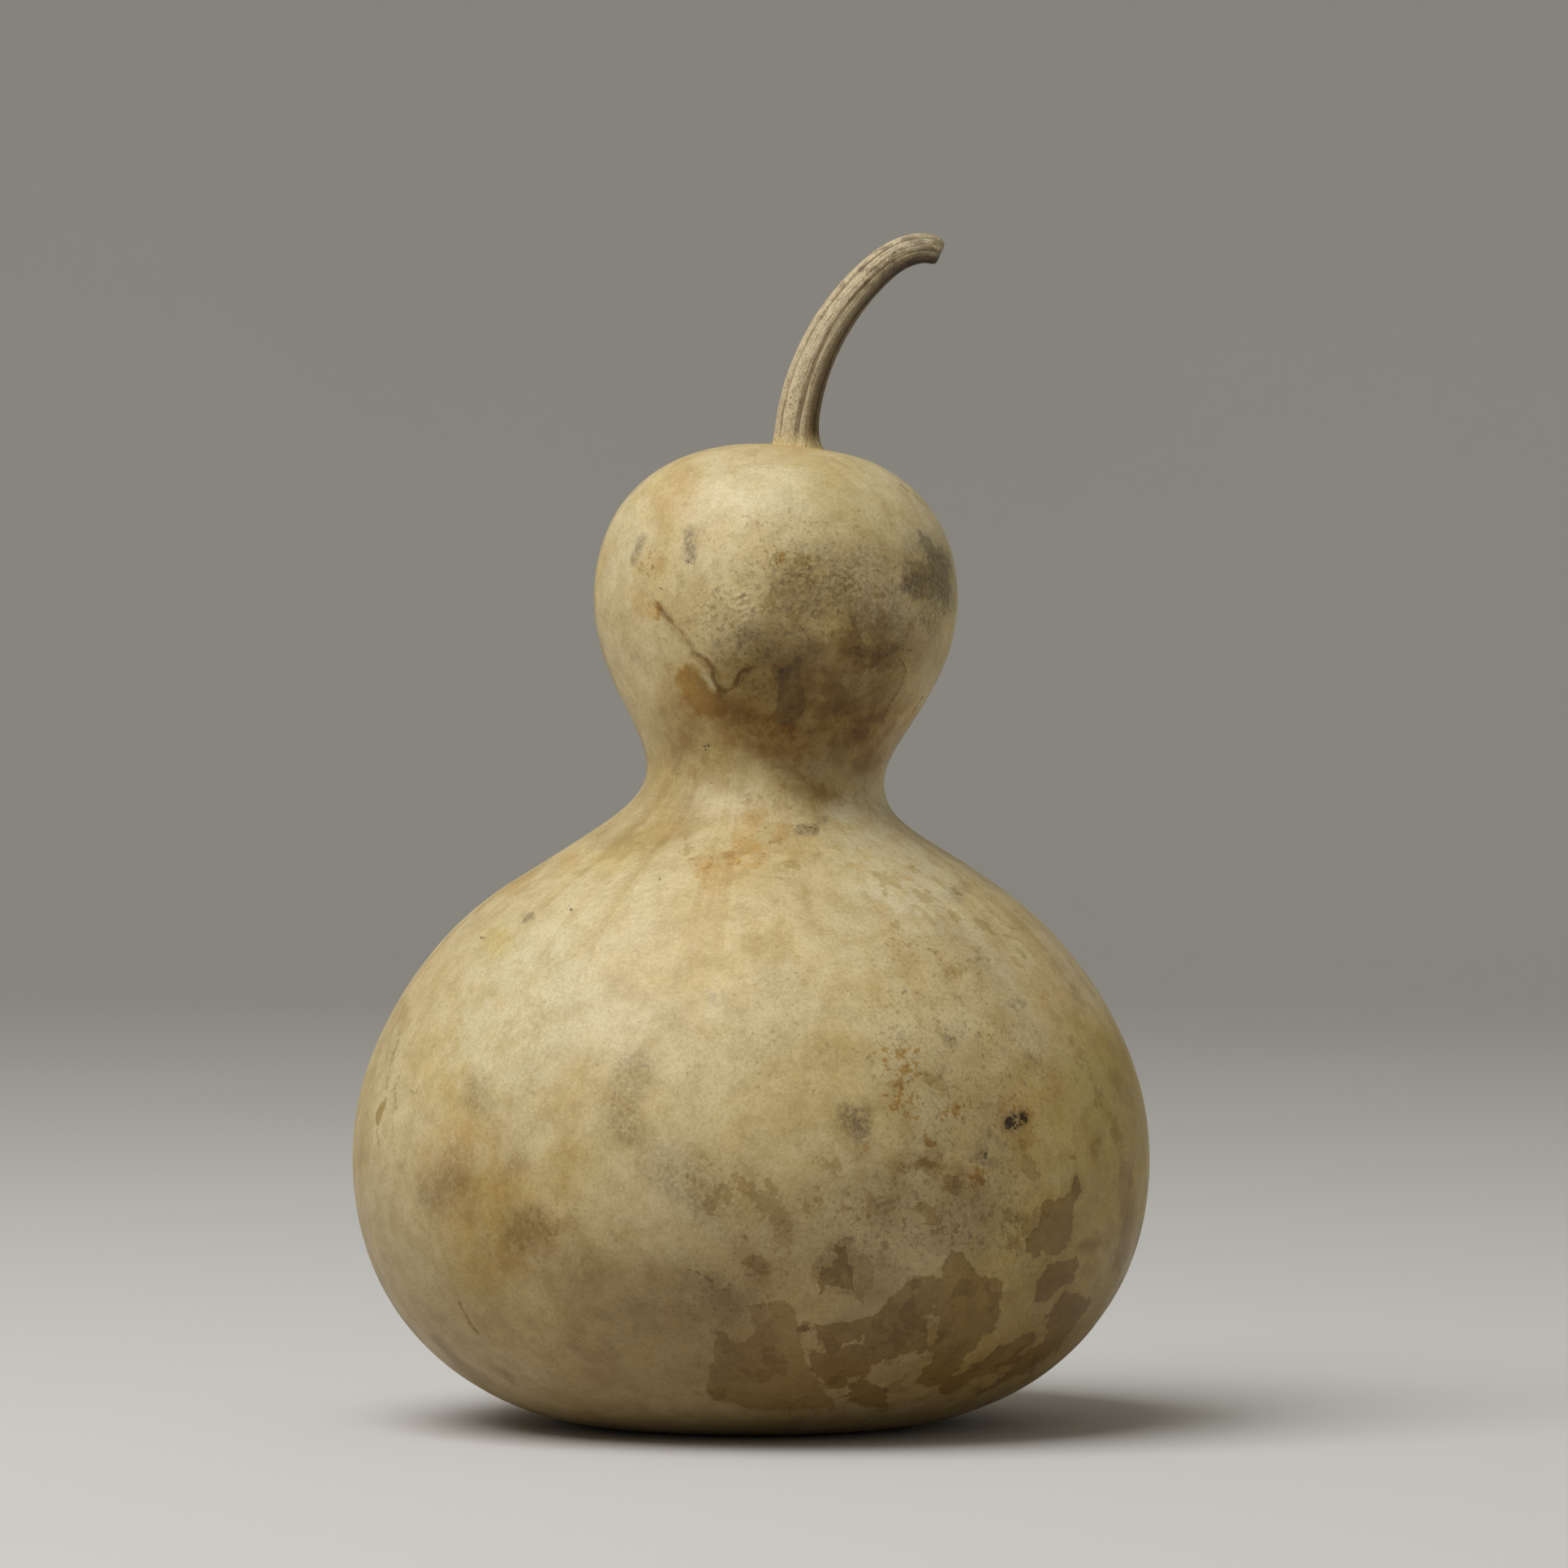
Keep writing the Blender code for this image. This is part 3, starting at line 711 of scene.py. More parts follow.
def sharp_field(family):
    """Pixels inside the nearest border of a sharp mark, or below 0 outside."""
    field = np.full(vertex_count, FAR_OUTSIDE)
    for azimuth, marks in ALL_MARKS.items():
        ruler = rulers[azimuth]
        for mark in marks.get(family, ()):
            if family in LINE_FAMILIES:
                line, half_width = mark
                depth = half_width - off_line(ruler.pixels, line)
            else:
                depth = depth_in_outline(ruler.pixels, mark)
            depth = np.clip(depth, FAR_OUTSIDE, -FAR_OUTSIDE)
            depth = depth * ruler.facing + FAR_OUTSIDE * (1.0 - ruler.facing)
            field = np.maximum(field, depth)
    return field


fields = {family: soft_field(family) for family in SOFT_FAMILIES}
fields.update({family: sharp_field(family) for family in OUTLINE_FAMILIES + LINE_FAMILIES})
fields["water_stain"] = np.minimum(fields["water_stain"], -fields.pop("stain_gap"))
print("fields:", ", ".join(sorted(fields)))

# %% [markdown]
# ## Relief of the skin
# A gourd's shell isn't a turned form. It has slow dents from drying, a faint waviness along the
# growth lines, a raised collar where the stem grew, and the dry scar of the flower underneath.
# All of it is height along the surface's normal, added up by formula. Near the ground the height
# fades out, so the gourd still rests where the solid does.

# %% Raise and dent the skin
DENT_DEPTH = 0.00022
DENT_SIZE = 0.030
DENT_BIAS = 0.35
RIPPLE_DEPTH = 0.00006
RIPPLE_SIZE = 0.007
CRACK_DEPTH = 0.00013
DOT_DEPTH = 0.00012
WRINKLE_HEIGHT = 0.00026
CRACK_EDGE, DOT_EDGE, WRINKLE_EDGE = (-0.6, 1.0), (-0.5, 1.0), (-1.2, 0.8)
COLLAR_HEIGHT = 0.00045
COLLAR_RADIUS = 0.0062
COLLAR_REACH = 0.0032
SCAR_RADIUS = 0.0034
SCAR_RING = 0.0009
SCAR_DEPTH = 0.0008
SCAR_RIM = 0.3 * SCAR_DEPTH
SCAR_STAIN = 1.5 * SCAR_RADIUS
SCAR_TOP = 0.02
NO_SCAR = -10.0
MILLIMETRES = 1000.0
CROWN_RING = (0.017, 0.005)
REST_FADE = (0.0004, 0.006)

STEM_FOOT = Vector((0.0102, 0.0, 0.2284))


def between(values, ends):
    """0 at the first end and 1 at the second, with a soft step between them."""
    return eased((values - ends[0]) / (ends[1] - ends[0]))


def skin_heights(mesh):
    """Height over the smooth skin at each vertex, in metres."""
    places, _ = places_and_normals(mesh)
    rows = [Vector(place) for place in places]
    dents = np.array([noise.noise(place / DENT_SIZE) for place in rows])
    ripples = np.array([noise.noise(place / RIPPLE_SIZE) for place in rows])
    height = DENT_DEPTH * (dents - DENT_BIAS) + RIPPLE_DEPTH * ripples
    height -= CRACK_DEPTH * between(fields["crack"], CRACK_EDGE)
    height -= DOT_DEPTH * between(fields["dots"], DOT_EDGE)
    height += WRINKLE_HEIGHT * between(fields["wrinkle"], WRINKLE_EDGE)
    height *= between(places[:, 2], REST_FADE)
    from_foot = np.linalg.norm(places - np.array(STEM_FOOT), axis=1)
    height += COLLAR_HEIGHT * np.exp(-np.maximum(from_foot - COLLAR_RADIUS, 0.0) / COLLAR_REACH)
    from_scar = np.hypot(places[:, 0], places[:, 1])
    below = places[:, 2] < SCAR_TOP
    ring = np.exp(-((from_scar - SCAR_RADIUS) / SCAR_RING) ** 2)
    pit = eased(1.0 - from_scar / SCAR_RADIUS)
    height += np.where(below, SCAR_RIM * ring - SCAR_DEPTH * pit, 0.0)
    return height


def raise_skin(mesh, heights):
    """Moves each vertex along its normal by its height."""
    places, normals = places_and_normals(mesh)
    moved = places + normals * heights[:, None]
    mesh.vertices.foreach_set("co", moved.astype(np.float32).ravel())
    mesh.update()


def store(mesh, name, values):
    """Keeps one number per vertex on the mesh, for the shader to read."""
    layer = mesh.attributes.new(name, "FLOAT", "POINT")
    layer.data.foreach_set("value", np.asarray(values, np.float32))


raise_skin(skin_mesh, skin_heights(skin_mesh))
skin_places, _ = places_and_normals(skin_mesh)
inside_scar = MILLIMETRES * (SCAR_STAIN - np.hypot(skin_places[:, 0], skin_places[:, 1]))
fields["scar"] = np.where(skin_places[:, 2] < SCAR_TOP, inside_scar, NO_SCAR)
from_foot = np.linalg.norm(skin_places - np.array(STEM_FOOT), axis=1)
fields["crown"] = between(from_foot, CROWN_RING)
for family, values in fields.items():
    store(skin_mesh, family, values)
gourd_rind = linked(skin_mesh, "gourd_rind")
print("rind, lowest and highest point:", skin_places[:, 2].min().round(5), skin_places[:, 2].max().round(5))

# %% [markdown]
# ## Small helpers for shaders
# Every material below is a tree of nodes. These helpers add one node and wire it in one line, so
# the recipes read like recipes. A glaze is one colour multiplied over another through a mask, as a
# painter lays a thin coat: the grain below still shows.

# %% Node helpers


def node(tree, kind, wires=(), **settings):
    """Adds a node, sets it up, and fills its inputs with values or with other nodes' outputs."""
    made = tree.nodes.new("ShaderNode" + kind)
    for name, value in settings.items():
        setattr(made, name, value)
    for socket, value in dict(wires).items():
        target = made.inputs[socket]
        if isinstance(value, bpy.types.NodeSocket):
            tree.links.new(value, target)
        else:
            target.default_value = value
    return made


def maths(tree, operation, first, second=0.0, clamp=False):
    """One sum on two numbers, either of which may be another node's output."""
    return node(tree, "Math", {0: first, 1: second}, operation=operation, use_clamp=clamp).outputs[0]


def times(tree, first, second):
    """One number times another."""
    return maths(tree, "MULTIPLY", first, second)


def blend(tree, mode, share, under, over):
    """Lays one colour over another in this mode, by this share."""
    return node(tree, "Mix", {0: share, 6: under, 7: over}, data_type="RGBA", blend_type=mode).outputs[2]


def glaze(tree, colour, coat, mask, strength=None):
    """Multiplies a thin coat over a colour, where the mask is and as strongly as told."""
    share = mask if strength is None else times(tree, mask, strength)
    return blend(tree, "MULTIPLY", share, colour, coat)


def ramp(tree, value, low, high, start=0.0, end=1.0, kind="SMOOTHSTEP"):
    """Turns value from low to high into start to end, softly and clamped."""
    wires = {"Value": value, "From Min": low, "From Max": high, "To Min": start, "To Max": end}
    return node(tree, "MapRange", wires, interpolation_type=kind).outputs["Result"]


def cloud(tree, place, scale, detail=2.0, roughness=0.5, distortion=0.0):
    """Soft noise round 0.5, with this many blotches to the metre and this much finer detail."""
    wires = {"Vector": place, "Scale": scale, "Detail": detail, "Roughness": roughness,
             "Distortion": distortion}
    return node(tree, "TexNoise", wires).outputs["Fac"]


def stored(tree, name):
    """A number that was kept on the mesh's vertices."""
    return node(tree, "Attribute", attribute_name=name).outputs["Fac"]


def parts_of(tree, vector):
    """The x, y and z of a vector."""
    return node(tree, "SeparateXYZ", {0: vector}).outputs


def paint(red, green, blue):
    """A colour as read off a swatch, 0 to 255, turned into the share of light that it sends back."""
    swatch = [value / 255 for value in (red, green, blue)]
    linear = [c / 12.92 if c <= 0.04045 else ((c + 0.055) / 1.055) ** 2.4 for c in swatch]
    return (*linear, 1.0)


def new_material(name):
    """A new material, its tree and its shader."""
    material = bpy.data.materials.new(name)
    material.use_nodes = True
    return material, material.node_tree, material.node_tree.nodes["Principled BSDF"]


print("a mid grey swatch sends back", round(paint(128, 128, 128)[0], 3), "of the light")

# %% [markdown]
# ## Effects that both finishes share
# Dry plant skin has a fine goose-flesh grain, dark freckles, streaks along its growth, and stains
# whose borders are torn. Each is a node group, built once and used by the rind and by the stem
# with their own sizes.

# %% Build the group for fine grain
VECTOR, FLOAT = "NodeSocketVector", "NodeSocketFloat"


def new_group(name, inputs, outputs):
    """A shader node group with these named inputs and outputs, and its two end nodes."""
    tree = bpy.data.node_groups.new(name, "ShaderNodeTree")
    for socket, kind, value in inputs:
        made = tree.interface.new_socket(socket, in_out="INPUT", socket_type=kind)
        if value is not None:
            made.default_value = value
    for socket in outputs:
        tree.interface.new_socket(socket, in_out="OUTPUT", socket_type=FLOAT)
    return tree, tree.nodes.new("NodeGroupInput").outputs, tree.nodes.new("NodeGroupOutput").inputs


def use_group(tree, group, wires):
    """Places a group in a material, with these inputs, and gives its outputs."""
    return node(tree, "Group", wires, node_tree=group).outputs


def grain_group():
    """Fine goose-flesh: a height for bump and a tone for colour."""
    tree, given, result = new_group(
        "fine_grain", [("Place", VECTOR, None), ("Fineness", FLOAT, 1500.0), ("Unevenness", FLOAT, 0.5)],
        ["Height", "Tone"])
    fine = cloud(tree, given["Place"], given["Fineness"], 2.0, 0.6)
    coarse = cloud(tree, given["Place"], times(tree, given["Fineness"], 0.22), 2.0, 0.5)
    patches = ramp(tree, cloud(tree, given["Place"], 45.0, 2.0), 0.35, 0.65, 0.45, 1.0)
    uneven = node(tree, "Mix", {0: given["Unevenness"], 2: 1.0, 3: patches}, data_type="FLOAT").outputs[0]
    height = maths(tree, "ADD", times(tree, fine, 0.7), times(tree, coarse, 0.3))
    tree.links.new(times(tree, height, uneven), result["Height"])
    tree.links.new(ramp(tree, height, 0.36, 0.62), result["Tone"])
    return tree


fine_grain = grain_group()
print("fine_grain has", len(fine_grain.nodes), "nodes")

# %% [markdown]
# ## Freckles and dapples
# A freckle is a cell of a cell pattern with its own luck: where the amount of freckles beats it, the
# cell gets a spot. A dapple is a patch like a country on a map, which is what a noise looks like
# when it is cut at one level. More of either appears as the amount rises.

# %% Build the groups for freckles and dapples


def freckle_group():
    """Small round spots of uneven size, more of them where Amount is high."""
    tree, given, result = new_group(
        "freckles", [("Place", VECTOR, None), ("Scale", FLOAT, 900.0), ("Amount", FLOAT, 0.5)], ["Mask"])
    sway = node(tree, "TexNoise", {"Vector": given["Place"], "Scale": given["Scale"], "Detail": 1.0})
    middle = {0: sway.outputs["Color"], 1: (0.5, 0.5, 0.5)}
    sway = node(tree, "VectorMath", middle, operation="SUBTRACT").outputs[0]
    reach = maths(tree, "DIVIDE", 0.9, given["Scale"])
    swayed = node(tree, "VectorMath", {0: sway, 3: reach}, operation="SCALE").outputs[0]
    place = node(tree, "VectorMath", {0: given["Place"], 1: swayed}, operation="ADD").outputs[0]
    cells = node(tree, "TexVoronoi", {"Vector": place, "Scale": given["Scale"], "Randomness": 1.0})
    luck = node(tree, "SeparateColor", {0: cells.outputs["Color"]}).outputs[0]
    clumps = cloud(tree, given["Place"], times(tree, given["Scale"], 0.14), 3.0, 0.6)
    amount = times(tree, given["Amount"], ramp(tree, clumps, 0.34, 0.62, 0.25, 1.25))
    chosen = maths(tree, "SUBTRACT", amount, luck)
    size = ramp(tree, chosen, 0.0, 0.5, 0.0, 0.46)
    spot = ramp(tree, maths(tree, "SUBTRACT", size, cells.outputs["Distance"]), -0.02, 0.16)
    tree.links.new(times(tree, spot, ramp(tree, chosen, 0.0, 0.03)), result["Mask"])
    return tree


def dapple_group():
    """Map-like patches with crisp borders, more of them where Amount is high."""
    tree, given, result = new_group(
        "dapple_patches", [("Place", VECTOR, None), ("Scale", FLOAT, 110.0), ("Amount", FLOAT, 0.5),
                           ("Softness", FLOAT, 0.02), ("Detail", FLOAT, 6.0)], ["Mask"])
    patches = cloud(tree, given["Place"], given["Scale"], given["Detail"], 0.62)
    level = ramp(tree, given["Amount"], 0.0, 1.0, 0.68, 0.45, "LINEAR")
    tree.links.new(ramp(tree, patches, level, maths(tree, "ADD", level, given["Softness"])), result["Mask"])
    return tree


freckles, dapple_patches = freckle_group(), dapple_group()
print("freckles and dapples have", len(freckles.nodes), "and", len(dapple_patches.nodes), "nodes")

# %% [markdown]
# ## Torn edges and streaks
# A sharp field says how many pixels a place lies inside a mark's border. Adding noise to it before
# it is cut tears the border, and a second cut beside the first gives a rim. Streaks are a noise on
# a place that has been stretched along the growth.

# %% Build the groups for torn edges and streaks


def torn_group():
    """Cuts Field at its border, made ragged by Rough, a noise. Field is in pixels inside the border."""
    tree, given, result = new_group(
        "torn_edge", [("Field", FLOAT, 0.0), ("Rough", FLOAT, 0.5), ("Tear", FLOAT, 4.0),
                      ("Softness", FLOAT, 1.5)], ["Mask", "Rim"])
    swing = times(tree, maths(tree, "SUBTRACT", given["Rough"], 0.5), given["Tear"])
    field = maths(tree, "ADD", given["Field"], swing)
    tree.links.new(ramp(tree, field, times(tree, given["Softness"], -1.0), given["Softness"]), result["Mask"])
    wide = times(tree, given["Softness"], 2.5)
    outer = ramp(tree, field, times(tree, wide, -1.0), given["Softness"])
    inner = ramp(tree, field, given["Softness"], times(tree, wide, 2.0))
    tree.links.new(maths(tree, "SUBTRACT", outer, inner, True), result["Rim"])
    return tree


def streak_group():
    """Streaks along the growth. Place is unrolled: x and y go round the form, and z goes along it."""
    tree, given, result = new_group(
        "growth_streaks", [("Place", VECTOR, None), ("Across", FLOAT, 20.0), ("Along", FLOAT, 2.0)],
        ["Value"])
    x, y, z = parts_of(tree, given["Place"])
    stretched = node(tree, "CombineXYZ", {
        0: times(tree, x, given["Across"]), 1: times(tree, y, given["Across"]),
        2: times(tree, z, given["Along"])}).outputs[0]
    tree.links.new(cloud(tree, stretched, 1.0, 4.0, 0.6, 0.4), result["Value"])
    return tree


torn_edge, growth_streaks = torn_group(), streak_group()
print("node groups:", [group.name for group in bpy.data.node_groups])

# %% [markdown]
# ## The rind's colours
# Cream to tan, satin, and stained by the months it took to dry. Coats are given as swatches of thin
# colour: each one darkens what is under it, so a pale swatch is a weak coat.

# %% Choose the rind's colours
RIND_CREAM = paint(227, 210, 165)
RIND_TAN = paint(215, 196, 149)
RIND_YELLOW = paint(242, 227, 172)
RIND_GREY = paint(214, 206, 184)
RIND_STREAK = paint(222, 204, 164)
# Painted shade towards the ground.
RIND_LOW_SHADE = paint(160, 133, 88)
OCHRE = paint(238, 212, 160)
# Olive tint, also laid as painted shade.
OLIVE = paint(244, 238, 180)
# Brown for tints and the flower scar, also laid as painted shade.
BROWN = paint(178, 154, 102)
# Painted shade.
UMBER_SHADE = paint(188, 176, 146)
GREY = paint(170, 166, 170)
# Pale wear, also laid as painted light.
PALE = paint(233, 225, 190)
STAIN = paint(198, 182, 140)
FAINT_STAIN = paint(218, 207, 180)
GREY_PATCH = paint(204, 200, 192)
AMBER = paint(214, 188, 124)
MOULD = paint(140, 132, 136)
INK = paint(84, 80, 84)
RUST = paint(221, 192, 132)
PEPPER_GREY = paint(168, 158, 146)
CRACK_BROWN = paint(182, 164, 142)
print("bare rind, from", [round(c, 2) for c in RIND_TAN[:3]], "to", [round(c, 2) for c in RIND_CREAM[:3]])

# %% [markdown]
# ## The bare rind
# Under all the marks the shell is cream and tan in slow clouds, with faint streaks along the growth
# on its shoulders, and painted shade browns it towards the ground. Noises of three sizes do this. The
# streaks are worked out round the fruit's axis, so that they have no seam.

# %% Colour the bare rind
SHADE_UNDER = (0.010, 0.090)
STREAK_HEIGHTS = (0.085, 0.125)
STREAK_FADE = (0.138, 0.165)


def around_axis(tree, place):
    """The place as a direction round the fruit's axis, with the height kept: it has no seam."""
    x, y, z = parts_of(tree, place)
    flat = node(tree, "CombineXYZ", {0: x, 1: y, 2: 0.0}).outputs[0]
    unit = node(tree, "VectorMath", {0: flat}, operation="NORMALIZE").outputs[0]
    directions = parts_of(tree, unit)
    return node(tree, "CombineXYZ", {0: directions[0], 1: directions[1], 2: z}).outputs[0]


def rind_body_colour(tree, place, height_up):
    """Cream and tan in slow clouds, with streaks along the growth, and painted shade browner towards the
    ground.
    """
    clouds = cloud(tree, place, 24.0, 5.0, 0.6, 0.5)
    colour = blend(tree, "MIX", ramp(tree, clouds, 0.32, 0.68), RIND_CREAM, RIND_TAN)
    yellow = cloud(tree, place, 38.0, 5.0, 0.6, 0.3)
    colour = glaze(tree, colour, RIND_YELLOW, ramp(tree, yellow, 0.42, 0.68, 0.0, 0.42))
    streaks = use_group(tree, growth_streaks,
                        {"Place": around_axis(tree, place), "Across": 9.0, "Along": 12.0})
    reach = maths(tree, "SUBTRACT", ramp(tree, height_up, *STREAK_HEIGHTS, 0.10, 0.45),
                  ramp(tree, height_up, *STREAK_FADE, 0.0, 0.32), True)
    colour = glaze(tree, colour, RIND_STREAK, ramp(tree, streaks["Value"], 0.46, 0.66), reach)
    mottle = cloud(tree, place, 150.0, 6.0, 0.72)
    colour = glaze(tree, colour, RIND_GREY, ramp(tree, mottle, 0.40, 0.64, 0.0, 0.46))
    # Painted shade: browner towards the ground.
    return glaze(tree, colour, RIND_LOW_SHADE, ramp(tree, height_up, *SHADE_UNDER, 0.60, 0.0))


print("streaks show most from", STREAK_HEIGHTS[1], "to", STREAK_FADE[0], "metres up")

# %% [markdown]
# ## Soft coats
# Tints from sap, sun and damp have no edge. The field on the vertices says how much of each tint
# there is, and one shared noise mottles it, so that none looks sprayed on. The olive, brown and umber
# coats also lay painted shade under the head, at the waist, on the right flank and near the ground.
# Pale wear is laid as a real paint, because it lightens, and it also lays painted light on the lit
# belly, the right of the neck and the head. The grey bloom of mould comes last.

# %% Lay the soft coats
SOFT_COATS = (
    ("ochre_tint", OCHRE, 0.38, 0.6, 0.35, 0.95),
    # The olive, brown and umber coats also lay painted shade.
    ("olive_tint", OLIVE, 0.25, 0.6, 0.4, 0.85),
    ("brown_tint", BROWN, 0.34, 0.62, 0.5, 0.95),
    ("umber_tint", UMBER_SHADE, 0.34, 0.62, 0.85, 1.0),
)


def rind_tints(tree, place, fleck, colour):
    """Ochre, olive, brown and umber, partly painted shade, pale wear, partly painted light, and grey bloom,
    each mottled by noise.
    """
    mottle = cloud(tree, place, 170.0, 5.0, 0.68)
    for family, coat, low, high, least, most in SOFT_COATS:
        colour = glaze(tree, colour, coat, stored(tree, family), ramp(tree, mottle, low, high, least, most))
    # Pale wear and painted light.
    pale = times(tree, stored(tree, "pale_wear"), ramp(tree, mottle, 0.38, 0.58, 0.15, 0.75))
    colour = blend(tree, "MIX", pale, colour, PALE)
    return glaze(tree, colour, GREY, stored(tree, "grey_bloom"), ramp(tree, fleck, 0.36, 0.60, 0.32, 1.0))


print("soft coats:", [coat[0] for coat in SOFT_COATS])

# %% [markdown]
# ## Freckles
# Tiny dark specks lie nearly everywhere, and thickly in some fields; a few groups are the colour of
# rust. Round spots alone look printed, so ragged ones of two sizes are mixed in.

# %% Sprinkle the freckles
ROUND_SCALE = 1500.0
RAGGED_SPECKS = ((820.0, 0.62, 0.46), (360.0, 0.50, 0.30))


def rind_freckles(tree, place, colour):
    """Dark pepper everywhere in small numbers and thick in some fields, and rust-coloured flecks."""
    pepper = maths(tree, "ADD", times(tree, stored(tree, "pepper"), 0.85), 0.11)
    round_ones = use_group(tree, freckles, {"Place": place, "Scale": ROUND_SCALE,
                                            "Amount": times(tree, pepper, 0.5)})
    colour = glaze(tree, colour, PEPPER_GREY, round_ones["Mask"], 0.46)
    for scale, thickness, strength in RAGGED_SPECKS:
        ragged = use_group(tree, dapple_patches, {"Place": place, "Scale": scale, "Softness": 0.06,
                                                  "Detail": 3.0, "Amount": times(tree, pepper, thickness)})
        colour = glaze(tree, colour, PEPPER_GREY, ragged["Mask"], strength)
    rusty = stored(tree, "rust_freckles")
    rust = use_group(tree, dapple_patches, {"Place": place, "Scale": 640.0, "Softness": 0.07,
                                            "Detail": 4.0, "Amount": rusty})["Mask"]
    return glaze(tree, colour, RUST, rust, ramp(tree, rusty, 0.02, 0.4, 0.0, 0.85))


print("ragged specks, as scale, thickness and strength:", RAGGED_SPECKS)

# %% [markdown]
# ## Sharp coats
# Water that dries on a rind leaves its dirt at the edge of the puddle, so these marks end in a torn
# but crisp border with a faint rim. Each is one line of a table: its field, its coat, how far the
# border is torn and how soft it is, both in pixels, and its strength.

# %% Lay the sharp coats
SHARP_COATS = (
    ("water_stain", STAIN, 26.0, 0.9, 0.85),
    ("faint_stain", FAINT_STAIN, 34.0, 1.6, 0.85),
    ("amber_stain", AMBER, 36.0, 6.0, 0.88),
    ("mould_shade", MOULD, 46.0, 5.0, 0.48),
    ("grey_patch", GREY_PATCH, 14.0, 2.2, 0.95),
    ("tan_spot", FAINT_STAIN, 8.0, 1.2, 0.9),
)


def torn(tree, family, rough, tear, softness):
    """A stored field, cut at its border and torn by this noise: its mask and its rim."""
    wires = {"Field": stored(tree, family), "Rough": rough, "Tear": tear, "Softness": softness}
    return use_group(tree, torn_edge, wires)


def rind_stains(tree, place, rough, fleck, colour):
    """Dapples, water stains, amber, mould, cracks and dots. Gives the cracks' mask as well."""
    dappled = stored(tree, "dapple")
    dapple = use_group(tree, dapple_patches, {"Place": place, "Scale": 125.0, "Amount": dappled,
                                              "Softness": 0.04})["Mask"]
    colour = glaze(tree, colour, FAINT_STAIN, dapple, ramp(tree, dappled, 0.02, 0.5, 0.05, 0.68))
    for family, coat, tear, softness, strength in SHARP_COATS:
        cut = torn(tree, family, rough, tear, softness)
        share = maths(tree, "ADD", times(tree, cut["Mask"], strength), times(tree, cut["Rim"], 0.05), True)
        colour = glaze(tree, colour, coat, share)
    crack = torn(tree, "crack", fleck, 9.0, 1.3)["Mask"]
    colour = glaze(tree, colour, CRACK_BROWN, crack, 0.6)
    dots = torn(tree, "dots", fleck, 22.0, 1.2)["Mask"]
    return glaze(tree, colour, INK, dots, 0.9), crack


def rind_scars(tree, fleck, colour):
    """The corky flower scar underneath, and a warm ring where the stem grew."""
    colour = glaze(tree, colour, BROWN, torn(tree, "scar", fleck, 8.0, 0.8)["Mask"], 0.9)
    return glaze(tree, colour, OCHRE, stored(tree, "crown"), 0.25)


print("sharp coats:", [coat[0] for coat in SHARP_COATS])

# %% [markdown]
# ## The finished rind
# All coats go into one base colour. A satin sheen, a little duller in patches and in the cracks, and
# a bump of fine goose-flesh finish it.

# %% Mix the rind
RIND_BUMP = 0.00006
RIND_SHEEN = 0.42


def mix_rind():
    """All coats in one colour, and the sheen and the bump."""
    material, tree, shader = new_material("dried_rind")
    place = node(tree, "TexCoord").outputs["Object"]
    height_up = parts_of(tree, place)[2]
    colour = rind_body_colour(tree, place, height_up)
    rough = cloud(tree, place, 260.0, 5.0, 0.65)
    fleck = cloud(tree, place, 1000.0, 3.0, 0.65)
    colour = rind_tints(tree, place, fleck, colour)
    colour = rind_freckles(tree, place, colour)
    colour, crack = rind_stains(tree, place, rough, fleck, colour)
    colour = rind_scars(tree, fleck, colour)
    grain = use_group(tree, fine_grain, {"Place": place, "Fineness": 1250.0, "Unevenness": 0.6})
    colour = glaze(tree, colour, RIND_GREY, ramp(tree, grain["Tone"], 0.0, 1.0, 0.36, 0.0))
    tree.links.new(colour, shader.inputs["Base Color"])
    dull = ramp(tree, cloud(tree, place, 60.0, 3.0), 0.3, 0.7, 0.42, 0.54)
    dull = maths(tree, "ADD", dull, times(tree, crack, 0.3), True)
    tree.links.new(dull, shader.inputs["Roughness"])
    height = maths(tree, "SUBTRACT", grain["Height"], times(tree, crack, 1.6))
    bump = node(tree, "Bump", {"Height": height, "Distance": RIND_BUMP, "Strength": 1.0})
    tree.links.new(bump.outputs["Normal"], shader.inputs["Normal"])
    shader.inputs["Specular IOR Level"].default_value = RIND_SHEEN
    return material


dried_rind = mix_rind()
gourd_rind.data.materials.clear()
gourd_rind.data.materials.append(dried_rind)
print("rind nodes:", len(dried_rind.node_tree.nodes))

# %% [markdown]
# ## The stem
# It dried into a woody rod that bends over and curls at its end. A swept tube would give it smooth
# sides, so its surface is laid out as a grid instead: rings along the same bent line as the
# solid's. This cell lays out that line and the plain radius round it.

# %% Lay out the stem's line
SEAT_TILT = radians(5.5)
STEM_LENGTH = 0.0637
STEM_RADIUS = 0.0051
STEM_TAPER = 0.00165
TAPER_POWER = 1.3
FOOT_FLARE, FOOT_FLARE_REACH = (0.0021, 0.0004), 0.0022
TIP_FLARE, TIP_FLARE_REACH = 0.0003, 0.0015
TIP_ROUND_LENGTH = (0.0018, 0.0040)
TIP_ROUND_DEPTH = (0.0012, 0.0025)
BEND_START, BEND_RATE = 0.0040, radians(985)
CURL_START, CURL_RATE = 0.0455, radians(300000)
STEM_TWIST = radians(14)
LINE_STEPS = 4


def stem_direction(distance):
    """The angle from upright towards +X in which the stem runs, this far along it."""
    bend = BEND_RATE * max(distance - BEND_START, 0.0)
    curl = 0.5 * CURL_RATE * max(distance - CURL_START, 0.0) ** 2
    return SEAT_TILT + bend + curl


